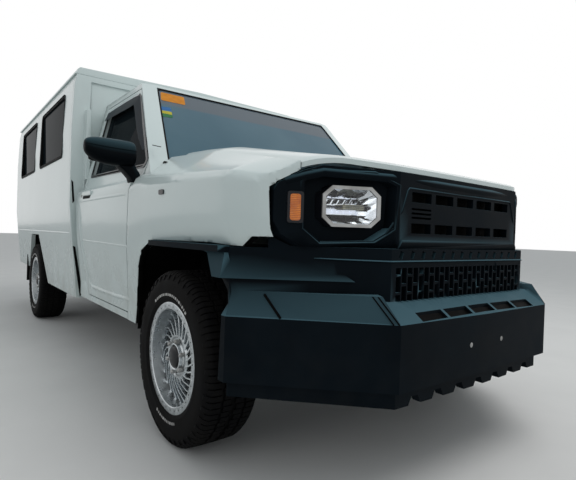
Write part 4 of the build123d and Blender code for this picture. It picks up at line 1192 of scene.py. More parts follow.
class HeadLamps(bpy.types.Operator):
    """Build the two octagonal headlamps: housing, stepped reflector, light bar and clear lens"""
    bl_idname = "vehicle.head_lamps"
    bl_label = "Headlamps"

    def execute(self, context):
        for word, side in SIDES:
            for name, kind, inner, outer, depth, thickness in LAMP_RINGS:
                shape = add_ring(bmesh.new(), lamp_outline(inner), lamp_outline(outer),
                                 on_wall(panel_y, side, depth), thickness)
                stands = ["headlamps"] if name == "housing" else []
                piece(f"lamp_{name}_{word}", shape, kind, stands_for=stands, crease=20)
            self.reflector(word, side)
            self.lights(word, side)
            shape = add_plate(bmesh.new(), lamp_outline(-6), on_wall(panel_y, side, 13), 3)
            piece("lamp_lens_" + word, shape, "clear", crease=20)
        return {"FINISHED"}

    def reflector(self, word, side):
        """Facets stepped back from the rim."""
        shape = bmesh.new()
        place = on_wall(panel_y, side)
        rings = []
        for grow, depth in REFLECTOR_STEPS:
            outline = lamp_outline(grow)
            ring = []
            for i, p in enumerate(outline):
                q = outline[(i + 1) % 8]
                parts = 4 if i % 2 else 3
                for k in range(parts):
                    ripple = 4 if (k + i) % 2 else -3
                    spot = lerp(p[0], q[0], k / parts), lerp(p[1], q[1], k / parts)
                    ring.append(shape.verts.new(place(*spot, depth + (ripple if grow < -8 else 0))))
            rings.append(ring)
        faces = []
        for a, b in zip(rings, rings[1:]):
            for k in range(len(a)):
                j = (k + 1) % len(a)
                faces += [shape.faces.new((a[k], a[j], b[j])), shape.faces.new((a[k], b[j], b[k]))]
        faces.append(shape.faces.new(rings[-1][::-1]))
        shape.normal_update()
        if sum(f.normal.y for f in faces) > 0:
            bmesh.ops.reverse_faces(shape, faces=faces)
        piece("lamp_reflector_" + word, shape, "chrome", crease=8)

    def lights(self, word, side):
        """The dark bars with their slats, the lit cells and the projector."""
        bar = bmesh.new()
        for z0, z1, near, far in LAMP_SHELVES:
            outline = rectangle(LENS_X - SHELF_HALF, LENS_X + SHELF_HALF, LENS_Z + z0, LENS_Z + z1)
            add_plate(bar, outline, on_wall(panel_y, side, near), far - near)
        for k in range(SLAT_COUNT):
            x, z = LENS_X + SLAT_FIRST - LAMP_STEP * k, LENS_Z + SLAT_RISE + k
            add_plate(bar, [(x + dx, z + dz) for dx, dz in LAMP_SLAT], on_wall(panel_y, side, 52), 8)
        piece("lamp_bar_" + word, bar, "gloss_black")
        cells = bmesh.new()
        for k in range(CELL_COUNT):
            x = LENS_X + CELL_FIRST + k * LAMP_STEP
            for rise, high in CELL_ROWS:
                z = LENS_Z + rise
                outline = [(x - 8, z - high), (x + 8, z - high), (x + 5, z + high), (x - 5, z + high)]
                add_plate(cells, outline, on_wall(panel_y, side, 60), 10)
        piece("lamp_cells_" + word, cells, "light_strip")
        shape = add_plate(bmesh.new(), rounded(PROJECTOR, 5, 3), on_wall(panel_y, side, 26), 40)
        piece("lamp_projector_" + word, shape, "projector")


class SmallLamps(bpy.types.Operator):
    """Build the amber side lamps, the fender repeaters and the tail lamps"""
    bl_idname = "vehicle.small_lamps"
    bl_label = "Small lamps"

    def execute(self, context):
        paint_node("side_lamps", "amber")
        for word, side in SIDES:
            shape = band(bmesh.new(), LAMP_CORNER, (-5, 9), (3, 9), on_wall(panel_y, side, -4), 6)
            piece("side_lamp_bezel_" + word, shape, "gloss_black")
            shape = add_plate(bmesh.new(), rounded(REPEATER, 8), on_side(cab_side_x, side, -2), 7)
            piece("fender_repeater_" + word, shape, "gloss_black", slot="amber_lens")
            for part, kind, z0, z1 in TAIL_LAMP:
                shape = add_box(bmesh.new(), (*TAIL_LENS, z0, z1), side, 0.005)
                piece(f"tail_{part}_{word}", shape, kind, slot="red_lens")
            shape = add_box(bmesh.new(), TAIL_HOUSING, side)
            stands = ["tail_lamps"] if side > 0 else []
            piece("tail_housing_" + word, shape, "gloss_black", stands_for=stands)
        return {"FINISHED"}


# Mirrors: the shell's (y, z) section, and its rings of (x, size, rise)
MIRROR_SECTION = [(462, 1168), (466, 1212), (480, 1250), (512, 1268), (550, 1260), (566, 1222), (572, 1178),
                  (560, 1148), (530, 1138), (488, 1140)]
MIRROR_Y, MIRROR_Z = 520, 1200
MIRROR_RINGS = ((870, 0.66, 0), (875, 0.88, 0), (888, 0.98, 0), (930, 1.0, 0), (1000, 0.98, 2),
                (1050, 0.88, 7), (1080, 0.70, 13), (1096, 0.48, 18), (1101, 0.24, 20))
MIRROR_FACE = [(884, 1158), (1070, 1160), (1064, 1242), (888, 1246)]
# The sides of the section that the cap covers
CAP_SIDES = (1, 2, 3)
# The stalk's rings: height, x from and to, y from and to
STALK = ((1156, 868, 958, 500, 560), (1138, 862, 944, 498, 562), (1116, 846, 918, 496, 566),
         (1092, 838, 894, 494, 568), (1070, 828, 886, 492, 570))


class Mirrors(bpy.types.Operator):
    """Build the door mirrors: shell, cap, glass and stalk"""
    bl_idname = "vehicle.mirrors"
    bl_label = "Door mirrors"

    def execute(self, context):
        for word, side in SIDES:
            body = "door_" + word
            shell = new_object("mirror_shell_" + word, add_loft(bmesh.new(), self.rings(side, 0.0)), 180)
            self.smooth(shell)
            finish_piece(shell, body, "mirror_shell", stands_for=["door_mirror_" + word])
            bare = [k for k in range(len(MIRROR_SECTION)) if k not in CAP_SIDES]
            shape = add_loft(bmesh.new(), self.rings(side, 1.5), capped=False, skip=bare)
            loose = [v for v in shape.verts if not v.link_faces]
            bmesh.ops.delete(shape, geom=loose, context="VERTS")
            cap = new_object("mirror_cap_" + word, shape, 180)
            if cap.data.polygons[0].normal.z < 0:
                cap.data.flip_normals()
            wall = cap.modifiers.new("wall", "SOLIDIFY")
            wall.thickness, wall.offset = 0.002, -1
            self.smooth(cap)
            finish_piece(cap, body, "mirror_shell")
            place = on_wall(lambda x, z: 572 - (z - 1180) * 0.15, side)
            shape = add_plate(bmesh.new(), rounded(MIRROR_FACE, 22, 5), place, 2)
            piece("mirror_glass_" + word, shape, "mirror", body)
            loops = [[at(side * x, y, z) for x, y in rounded(rectangle(x0, x1, y0, y1), 12, 2)]
                     for z, x0, x1, y0, y1 in STALK]
            piece("mirror_stalk_" + word, add_loft(bmesh.new(), loops), "mirror_shell", body, crease=40)
        return {"FINISHED"}

    def rings(self, side, grow):
        """The mirror's section at each ring, grown outwards by some millimetres."""
        loops = []
        for x, size, rise in MIRROR_RINGS:
            loop = []
            for y, z in MIRROR_SECTION:
                k = size * (1 + grow / math.hypot(y - MIRROR_Y, z - MIRROR_Z))
                loop.append(at(side * x, MIRROR_Y + (y - MIRROR_Y) * k, MIRROR_Z + rise + (z - MIRROR_Z) * k))
            loops.append(loop)
        return loops

    def smooth(self, obj):
        smooth = obj.modifiers.new("smooth", "SUBSURF")
        smooth.levels = smooth.render_levels = 2


# Wheels and tyres, built round the X axis for the left side; profiles are (radius, offset)
WHEELS = [(row, word, side, at(side * WHEEL_X, y, HUB_Z)) for row, y in AXLES for word, side in SIDES]
TYRE_HALF = [(205, 94), (212, 98), (222, 104), (231, 107.5), (236, 109.5), (240, 109), (262, 110.6),
             (284, 111), (302, 109), (315, 104), (325, 98), (332, 90), (334, 76), (334.5, 40)]
# Tread blocks: section of (offset, radius), with start and end in pitches
TREAD = (([(50, 333), (50, 342.4), (84, 341.6), (96, 335), (105, 324), (109.5, 310), (108, 306), (94, 322),
           (84, 333)], -0.22, 0.16),
         ([(54, 333), (54, 342.2), (86, 341), (98, 333), (104, 325), (98, 322), (84, 332)], 0.27, 0.68),
         ([(6, 333), (6, 342.8), (40, 342.6), (40, 333)], -0.3, 0.12),
         ([(14, 333), (14, 342.8), (44, 342.4), (44, 333)], 0.2, 0.62))
MARK_WIDTHS = (2.6, 1.2, 2.2, 1.0, 2.8, 1.4, 2.2, 1.2, 2.4)
# Turned parts of the wheel: name, finish, steps and profile
TURNED = (
    ("barrel", "alloy", 96,
     [(218, 97), (218, 101), (214, 102.5), (192, 102), (189, 99), (186, 60), (184, 48), (180, 30), (180, -88),
      (204, -96), (218, -97), (218, -102), (204, -102), (196, -90), (196, 88), (205, 96)]),
    ("hub", "alloy", 64,
     [(31, 4), (31, 60), (34, 76), (50, 78.5), (54, 72), (60, 68), (72, 68), (78, 73), (84, 73), (88, 66),
      (84, 56), (60, 40), (58, 4)]),
    ("hub_ring", "bright_alloy", 48, [(46, 72), (46, 82), (49, 84.5), (53, 83.5), (55, 74)]),
    ("cap", "gloss_black", 32, [(0, 60), (45.5, 60), (45.5, 80), (40, 88), (24, 93), (0, 94)]))
# The blade's sections: radius, outer and inner offset, half width and twist
BLADE = ((80, 73, 60, 5.2, 0.0), (106, 71, 52, 4.8, 0.14), (134, 65, 46, 5.0, 0.30), (162, 59, 38, 6.2, 0.46),
         (186, 55, 32, 9.0, 0.60))
RIVET = [(0, 100), (5.2, 100), (5.2, 101.6), (3.6, 102.5), (0, 102.5)]
SOCKET = [(0, 101.6), (3.0, 101.6), (3.0, 102.45), (0, 102.45)]
NUT = [(0, 70), (9.5, 70), (9.5, 86), (7, 90), (0, 90)]
RIVET_RADIUS = 0.203
NUT_RADIUS = 0.0635
# The tyre's marks: radius and depth from and to, the gap between them, and each arc's middle and spread
MARK_RADIUS = (243, 252.5)
MARK_X = (109.0, 111.6)
MARK_GAP = math.radians(2.0)
MARK_ARCS = ((0.0, math.radians(38)), (math.pi, math.radians(22)))


def outward(shape, side):
    """Turn a shape built for the left wheel to face the right."""
    if side < 0:
        bmesh.ops.scale(shape, verts=shape.verts, vec=(-1, 1, 1))
        bmesh.ops.reverse_faces(shape, faces=shape.faces)
    return shape


def wheel_part(name, shape, kind):
    """A part that is joined into a wheel or tyre later."""
    obj = new_object(name, shape, 30)
    obj.data.materials.append(finish(kind))
    return obj


def wheel_piece(kind, parts, row, word, centre):
    """Join a wheel's parts into one piece at its place."""
    body = f"{row}_wheel_{word}"
    obj = moved(joined(f"{kind}_{body}", parts), centre)
    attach(obj, body)
    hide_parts(f"{row}_{kind}_{word}")


class Tyres(bpy.types.Operator):
    """Build the tyres with all-terrain tread blocks and plain raised marks"""
    bl_idname = "vehicle.tyres"
    bl_label = "Tyres"

    def execute(self, context):
        count = settings().wheel.lug_count
        pitch = 2 * math.pi / count
        profile = TYRE_HALF + [(r, -x) for r, x in reversed(TYRE_HALF)]
        for row, word, side, centre in WHEELS:
            pattern = bmesh.new()
            for mirror, shift in ((1, 0), (-1, 0.5)):
                for section, start, end in TREAD:
                    loops = [[polar(x * mirror, r, -pitch * (shift + turn)) for x, r in section]
                             for turn in (start, end)]
                    add_loft(pattern, loops)
            parts = [wheel_part("carcass", add_lathe(bmesh.new(), profile, 96), "tyre"),
                     repeated("lugs", pattern, "tyre", Count=count, Phase=0.0),
                     wheel_part("marks", outward(self.marks(), side), "mark")]
            wheel_piece("tyre", parts, row, word, centre)
        return {"FINISHED"}

    def marks(self):
        """Plain raised bars on the outer wall, in two short arcs."""
        shape = bmesh.new()
        inner, outer = MARK_RADIUS
        for middle, spread in MARK_ARCS:
            start = middle - spread
            for width in MARK_WIDTHS * 3:
                end = start + math.radians(width)
                following = end + MARK_GAP
                if following > middle + spread:
                    break
                corners = ((inner, start), (inner, end), (outer, end), (outer, start))
                add_loft(shape, [[polar(x, r, a) for r, a in corners] for x in MARK_X])
                start = following
        return shape


class Wheels(bpy.types.Operator):
    """Build the deep bladed wheels with riveted outer rings, hubs, nuts and caps"""
    bl_idname = "vehicle.wheels"
    bl_label = "Wheels"

    def execute(self, context):
        chosen = settings().wheel
        for row, word, side, centre in WHEELS:
            parts = [wheel_part(name, outward(add_lathe(bmesh.new(), profile, steps), side), kind)
                     for name, kind, steps, profile in TURNED]
            loops = []
            for r, near, deep, wide, twist in BLADE:
                section = ((-wide, deep), (-wide * 0.7, near), (wide * 0.7, near), (wide, deep))
                loops.append([polar(x, r, twist + t / r) for t, x in section])
            blade = outward(add_loft(bmesh.new(), loops), side)
            parts.append(repeated("blades", blade, "bright_alloy", Count=chosen.blade_count, Phase=0.0))
            rivets = chosen.rivet_count
            for name, kind, profile, sides, radius, count, phase in (
                    ("rivets", "bright_alloy", RIVET, 10, RIVET_RADIUS, rivets, 0.0),
                    ("rivet_sockets", "gap", SOCKET, 8, RIVET_RADIUS, rivets, math.pi / rivets),
                    ("nuts", "zinc", NUT, 6, NUT_RADIUS, chosen.nut_count, 0.2)):
                shape = add_lathe(bmesh.new(), profile, sides, "X", Vector((0, 0, radius)))
                parts.append(repeated(name, outward(shape, side), kind, Count=count, Phase=phase))
            wheel_piece("rim", parts, row, word, centre)
        return {"FINISHED"}


# Doors, with (y, z) outlines
CARD = [(640, 470), (560, 1060), (1450, 1060), (1470, 960), (1440, 720), (1370, 520), (1330, 470)]
CARD_X = 884
# Painted shadow of the handle's recess, under the grip
HANDLE_RECESS_SHADOW = [(1216, 1024), (1392, 1026), (1392, 1060), (1216, 1060)]
HANDLE_GRIP = [(1206, 1042), (1400, 1044), (1402, 1072), (1204, 1070)]
GRIP_X = 884
LOCK = [(0, 0), (9, 0), (9, 3), (7, 4), (0, 4)]
LOCK_PLACE = (889, 1436, 1046)
ARMREST = (775, 822, 900, 1300, 850, 895)
SPEAKER = [(72, 0), (78, 3), (84, 0), (84, -3), (72, -3)]
SPEAKER_PLACE = (778, 700, 620)


class DoorFittings(bpy.types.Operator):
    """Add the door handles, locks and inner door cards"""
    bl_idname = "vehicle.door_fittings"
    bl_label = "Door fittings"

    def execute(self, context):
        for word, side in SIDES:
            body = "door_" + word
            # A near-black disc behind the grip: the painted shadow in the handle's recess
            shape = add_plate(bmesh.new(), rounded(HANDLE_RECESS_SHADOW, 17, 5), on_side(cab_side_x, side, -1), 1.8)
            piece("handle_cup_" + word, shape, "gap", body)
            shape = add_plate(bmesh.new(), rounded(HANDLE_GRIP, 12), on_side(same(GRIP_X), side), 12)
            handle = new_object("handle_grip_" + word, shape, 50)
            soft = handle.modifiers.new("soft", "BEVEL")
            soft.width, soft.segments = 0.004, 2
            finish_piece(handle, body, "paint")
            shape = outward(add_lathe(bmesh.new(), LOCK, 20), side)
            lock = moved(new_object("door_lock_" + word, shape), *places([LOCK_PLACE], side))
            finish_piece(lock, body, "zinc")

            # The inner trim: a pad, an armrest and a speaker grille
            inside = on_side(lambda y, z: min(cab_side_x(y, z), CARD_X), side, -59)
            piece("door_card_" + word, add_plate(bmesh.new(), rounded(CARD, 30), inside, -7), "trim", body)
            shape = add_box(bmesh.new(), ARMREST, side, 0.012, 3)
            piece("door_armrest_" + word, shape, "vinyl", body, crease=60)
            shape = add_lathe(bmesh.new(), SPEAKER, 32)
            speaker = moved(new_object("door_speaker_" + word, shape), *places([SPEAKER_PLACE], side))
            finish_piece(speaker, body, "rubber")
        return {"FINISHED"}


# Seats
SEAT_X = 380
SEAT_BASE_HALF = 215
SEAT_BASE = (905, 1345, 620.6, 742)
POST_SPREAD = 55
# Pads of a front seat: name, half width, y and z from and to, crown, channels, their depth and the tilt
SEAT_PADS = (
    ("cushion", 248, (892, 1352), (738, 862), (12, 16, 14),
     ((0, 2, -150, 9), (0, 2, 150, 9), (1, 2, 40, 9), (1, 2, -70, 9)), 8, 0.0),
    ("back", 245, (1328, 1432), (812, 1398), (14, 14, 20),
     ((0, -2, -140, 9), (0, -2, 140, 9), (2, -2, 60, 9), (2, -2, -80, 9), (2, -2, 180, 9)), 7, -0.145),
    ("headrest", 120, (1432, 1512), (1432, 1560), (14, 12, 14), (), 0, -0.1))
# Pads of a bench: name, x, y and z from and to, crown, the face with the channels and their depth
BENCH_PADS = (("cushion", (472, 792), (1764, 3956), (985, 1060), (8, 10, 10), 2, 9),
              ("back", (792, 856), (1766, 3954), (1066, 1328), (8, 10, 12), -1, 7))
BENCH_SEAMS = (-825, -550, -275, 0, 275, 550, 825)
BENCH_BOARD = (600, 856, 1764, 3956, 966, 984)
BENCH_LEGS = ((604, 838, 1800, 1856, 640.4, 970), (604, 838, 3860, 3916, 640.4, 970))


class Seats(bpy.types.Operator):
    """Build the two padded front seats and the two long benches"""
    bl_idname = "vehicle.seats"
    bl_label = "Seats"

    def execute(self, context):
        for word, side in SIDES:
            x = side * SEAT_X
            shape = add_box(bmesh.new(), (x - SEAT_BASE_HALF, x + SEAT_BASE_HALF, *SEAT_BASE))
            piece("seat_base_" + word, shape, "rubber", stands_for=["seats"] if word == "left" else [])
            for name, half, (y0, y1), (z0, z1), crown, channels, cut, tilt in SEAT_PADS:
                self.pad(f"seat_{name}_{word}", (x - half, y0, z0), (x + half, y1, z1), crown, channels, cut,
                         tilt=tilt)
            shape = bmesh.new()
            for post in (x - POST_SPREAD, x + POST_SPREAD):
                add_tube(shape, [at(post, 1442, 1370), at(post, 1462, 1460)], 0.006, 10)
            piece("headrest_posts_" + word, shape, "zinc")
            for name, spread, (y0, y1), (z0, z1), crown, face, cut in BENCH_PADS:
                x0, x1 = sorted(side * x for x in spread)
                self.pad(f"bench_{name}_{word}", (x0, y0, z0), (x1, y1, z1), crown,
                         tuple((1, face, y, 10) for y in BENCH_SEAMS), cut, 6.0, 30)
            shape = bmesh.new()
            for span in (BENCH_BOARD, *BENCH_LEGS):
                add_box(shape, span, side)
            piece("bench_frame_" + word, shape, "chassis")
        return {"FINISHED"}

    def pad(self, name, low, high, *shaping, **more):
        obj = piece(name, add_pad(bmesh.new(), low, high, *shaping, **more), "vinyl", crease=70)


# Cabin, with the dial hood as (x, z), the pedals as (y, z) and the arms as (x, y, z)
DIAL_HOOD = [(250, 985), (510, 985), (490, 1078), (270, 1078)]
DIAL_RING = [(33, 0), (37, 0), (37, 4), (33, 4)]
DIAL_X = (325, 435)
VENT_SLAT = (-60, 60, 719, 724, 0, 5)
CENTRE_PANEL = (-92, 92, 640, 690, 870, 950)
PEDAL_X = (300, 375, 450)
PEDAL_ARM = ((560, 860), (600, 760), (640, 712))
PEDAL_PLATE = (632, 646, 686, 730)
MIRROR_ARM = ((0, 868, 1640), (0, 884, 1590))
INNER_MIRROR = (-115, 115, 880, 902, 1540, 1602)
GEAR_LEVER = ((40, 790, 640), (44, 800, 800))
GEAR_KNOB = [(0, -26), (18, -20), (24, 0), (20, 16), (0, 24)]


class Cabin(bpy.types.Operator):
    """Finish the dashboard and add its dials, vents, pedals, gear lever and inner mirror"""
    bl_idname = "vehicle.cabin"
    bl_label = "Cabin"

    def execute(self, context):
        finish_piece(softened("dashboard", 0.006), "chassis", "trim", stands_for=["dashboard"])
        place = on_wall(lambda x, z: 712 - (z - 985) * 0.4)
        piece("dial_hood", add_plate(bmesh.new(), rounded(DIAL_HOOD, 26, 5), place, 26), "gloss_black")
        shape = bmesh.new()
        for x in DIAL_X:
            add_lathe(shape, DIAL_RING, 32, "Y", at(x, 720, 1028))
        piece("dial_rings", shape, "bright_alloy")
        slat = add_box(bmesh.new(), VENT_SLAT)
        row_piece("vent_slats", slat, "rubber", 5, (0, 0, 0.014), Vector((0, 0, 0.975)))
        piece("centre_panel", add_box(bmesh.new(), CENTRE_PANEL), "gloss_black")
        shape = bmesh.new()
        for x in PEDAL_X:
            add_tube(shape, [at(x, y, z) for y, z in PEDAL_ARM], 0.008, 8)
            add_box(shape, (x - 26, x + 26, *PEDAL_PLATE))
        piece("pedals", shape, "rubber")
        shape = add_tube(bmesh.new(), places(MIRROR_ARM), 0.008, 8)
        piece("inner_mirror", add_box(shape, INNER_MIRROR, soft=0.008), "gloss_black", crease=50)
        shape = add_tube(bmesh.new(), places(GEAR_LEVER), 0.009, 10)
        piece("gear_lever", add_lathe(shape, GEAR_KNOB, 20, "Z", at(44, 802, 818)), "gloss_black")
        return {"FINISHED"}


# Load space, with the grab rail's (y, z) path
GRAB_X = 560
GRAB_RAIL = ((1800, 1858), (1830, 1792), (1900, 1778), (3820, 1778), (3890, 1792), (3920, 1858))
ROOF_BOW = (-838, 838, -18, 18, 1884, 1905)
CEILING_LAMP = [(0, 0), (62, 0), (62, -6), (50, -16), (0, -20)]
FLOOR_RIB = (-5, 5, 1670, 4010, 644.2, 646.4)


class LoadSpace(bpy.types.Operator):
    """Finish the floor, add grab rails, roof bows and ceiling lamps in the passenger body"""
    bl_idname = "vehicle.load_space"
    bl_label = "Passenger space"

    def execute(self, context):
        paint_node("van_floor", "floor")
        for word, side in SIDES:
            path = [at(side * GRAB_X, y, z) for y, z in GRAB_RAIL]
            piece("grab_rail_" + word, add_tube(bmesh.new(), path, 0.013, 14), "zinc")
        bow = add_box(bmesh.new(), ROOF_BOW)
        row_piece("roof_bows", bow, "paint", 5, (0, 0.46, 0), Vector((0, 1.92, 0)))
        lamp = add_lathe(bmesh.new(), CEILING_LAMP, 32, "Z")
        row_piece("ceiling_lamps", lamp, "white_lens", 2, (0, 1.1, 0), at(0, 2290, 1884))
        rib = add_box(bmesh.new(), FLOOR_RIB)
        row_piece("aisle_ribs", rib, "rubber", 17, (0.066, 0, 0), Vector((-0.528, 0, 0)), "floor_paint")
        return {"FINISHED"}


# Outside of the passenger body: dark slits behind the cab, painted shade in the gap between the cab and the
# passenger body, and the rear corner as (x, z) outlines
CAB_SLITS = ([(898, 722), (882, 716), (828, 398), (846, 380)],
             [(918, 1162), (906, 1150), (895, 1022), (907, 1006)])
REAR_CORNER = [(865, 766), (884, 1000), (884, 1500), (872, 1790), (869, 1868), (800, 1872), (800, 1802),
               (865, 1802)]
DRIP_RAIL = ((896, 1602, 1874), (911, 1602, 1872), (912, 1602, 1880), (896, 1602, 1884))
SWAGE = [(y, 804) for y in (1660, 1900, 2800, 3300, 4080)]
MUD_FLAP = ((690, 3560, 300), (890, 3560, 300), (890, 3556, 560), (690, 3556, 560))
REAR_HANDLE = (40, 80, 4122, 4150, 1010, 1170)
PLATE_REST = (-560, -300, 4120.2, 4127, 900, 1040)
HINGE_HEIGHTS = (900, 1250, 1600)
REAR_PRESSING = rectangle(110, 690, 720, 1270)
REAR_WINDOW = rectangle(120, 670, WINDOW_LOW, WINDOW_HIGH)
STEP_GRIP = ((-9, -22), (9, -22), (13, 0), (9, 22), (-9, 22), (-13, 0))


class BodyTrim(bpy.types.Operator):
    """Add the drip rails, side swages, rear handle, hinges, step grips and mud flaps"""
    bl_idname = "vehicle.body_trim"
    bl_label = "Body trim"

    def execute(self, context):
        for word, side in SIDES:
            self.side_trim(word, side)
            self.rear_door(word, side)
            shape = add_prism(bmesh.new(), places(MUD_FLAP, side), Vector((0, 0.006, 0)))
            piece("mud_flap_" + word, shape, "rubber")
        shape = add_box(bmesh.new(), REAR_HANDLE, soft=0.008)
        piece("rear_handle", shape, "gloss_black", "rear_door_left", crease=50)
        shape = add_box(bmesh.new(), PLATE_REST, soft=0.003)
        piece("blank_plate_rest", shape, "plastic", "rear_door_right", crease=50)
        grip = add_prism(bmesh.new(), [at(x, y, 0) for x, y in STEP_GRIP], Vector((0, 0, 0.003)))
        row_piece("step_grips", grip, "zinc", 23, (0.06, 0, 0), Vector((-0.66, 4.235, 0.510)),
                  "chassis_black")
        paint_node("rear_step", "chassis")
        return {"FINISHED"}

    def side_trim(self, word, side):
        """The drip rail, the swage, the painted shade in the slits behind the cab and the rear corner."""
        shape = add_prism(bmesh.new(), places(DRIP_RAIL, side), Vector((0, 2.516, 0)))
        piece("drip_rail_" + word, shape, "paint")
        shape = add_crease(bmesh.new(), SWAGE, on_side(van_side_x, side), 20, 2.6)
        piece("side_swages_" + word, shape, "paint", crease=60)
        # Painted shade in the gap between the cab and the passenger body
        shape = bmesh.new()
        for slit in CAB_SLITS:
            add_plate(shape, slit, on_wall(same(1599.6), side, way=-1), 1.2)
        piece("cab_gap_" + word, shape, "gap", slot="body_paint")
        shape = add_plate(bmesh.new(), REAR_CORNER, on_wall(same(VAN_REAR - 12), side, way=-1), 56)
        piece("rear_corner_" + word, shape, "paint")

    def rear_door(self, word, side):
        """The rear door's hinges, swage and pane rubber."""
        body = "rear_door_" + word
        shape = bmesh.new()
        for z in HINGE_HEIGHTS:
            add_tube(shape, [at(side * REAR_AXIS_X, VAN_REAR + 1, h) for h in (z - 42, z + 42)], 0.0045, 12)
            add_box(shape, (700, 786, VAN_REAR + 0.2, VAN_REAR + 5, z - 20, z + 20), side)
        piece("rear_hinges_" + word, shape, "paint", body)
        inner, outer = rounded(grown(REAR_PRESSING, -16), 30, 5), rounded(REAR_PRESSING, 40, 5)
        shape = add_ring(bmesh.new(), inner, outer, on_wall(same(VAN_REAR - 1), side), 4.5)
        piece("rear_swage_" + word, shape, "paint", body, crease=60)
        shape = band(bmesh.new(), REAR_WINDOW, (-12, 36), (12, 46), on_wall(same(VAN_REAR - 2), side), 6, 5)
        piece("rear_pane_rubber_" + word, shape, "rubber", body)


# Running gear
BARE_NODES = {"chassis": ("frame_rails", "fuel_tank", "rear_axle", "front_arms"),
              "iron": ("powertrain", "knuckle_left", "knuckle_right")}
SPRING_X, SPRING_R, SPRING_TURNS, SPRING_STEPS = 560, 52, 6, 96
SPRING_LOW, SPRING_RISE = 300, 270
# The front damper's parts: height from and to, radius and sides
DAMPER_PARTS = ((262, 440, 0.024, 14), (440, 585, 0.011, 12))
REAR_DAMPER = ((475, 3190, 410), (475, 3260, 560))
# The ribs of the engine's cover: where each starts, and its depth
ENGINE_RIBS = range(-250, 101, 70)
ENGINE_RIB_DEPTH = 24
BATTERY = (300, 470, -300, -110, 860, 1050)
AIR_BOX = (-500, -290, -330, -60, 840, 1030)
AIR_DUCT = ((-300, -200, 960), (-250, -200, 965), (-200, -190, 940))
RADIATOR_CAP = [(0, 0), (26, 0), (26, 12), (20, 20), (0, 20)]


class RunningGear(bpy.types.Operator):
    """Finish the frame, axles, engine, tank and knuckles, and add springs, dampers and engine fittings"""
    bl_idname = "vehicle.running_gear"
    bl_label = "Running gear"

    def execute(self, context):
        for kind, slot in (("chassis", "chassis_black"), ("iron", "bare_iron")):
            for node in BARE_NODES[kind]:
                paint_node(node, kind)
        for word, side in SIDES:
            x = side * SPRING_X
            path = []
            for k in range(SPRING_STEPS + 1):
                a = 2 * math.pi * SPRING_TURNS * k / SPRING_STEPS
                z = SPRING_LOW + SPRING_RISE * k / SPRING_STEPS
                path.append(at(x + SPRING_R * math.cos(a), SPRING_R * math.sin(a), z))
            piece("front_spring_" + word, add_tube(bmesh.new(), path, 0.008, 8), "chassis")
            shape = bmesh.new()
            for z0, z1, radius, sides in DAMPER_PARTS:
                add_tube(shape, [at(x, 0, z0), at(x, 0, z1)], radius, sides)
            piece("front_damper_" + word, shape, "zinc", slot="bare_iron")
            shape = add_tube(bmesh.new(), places(REAR_DAMPER, side), 0.022, 14)
            piece("rear_damper_" + word, shape, "zinc", slot="bare_iron")
        shape = bmesh.new()
        for y in ENGINE_RIBS:
            add_box(shape, (-108, 108, y, y + ENGINE_RIB_DEPTH, 985.2, 996))
        piece("engine_cover_ribs", shape, "rubber")
        piece("battery", add_box(bmesh.new(), BATTERY, soft=0.006), "rubber", crease=50)
        shape = add_box(bmesh.new(), AIR_BOX, soft=0.02, segments=3)
        piece("air_box", add_tube(shape, places(AIR_DUCT), 0.035, 16), "plastic", crease=50)
        shape = add_lathe(bmesh.new(), RADIATOR_CAP, 24, "Z", at(-60, -572, 990))
        piece("radiator_cap", shape, "zinc", slot="bare_iron")
        return {"FINISHED"}


# Stage, in metres and degrees; lamps: name, place, target and size
LAMPS = (("key", (1.2, -3.2, 6.5), (0, 0.2, 1.0), 5.0), ("fill", (-7.0, -3.0, 3.0), (0, 0, 0.9), 4.0))
CAMERA_PLACE = (-1.6215, -3.4349, 0.8399)
CAMERA_YAW, CAMERA_PITCH, CAMERA_ROLL = 37.64, -0.61, -1.86


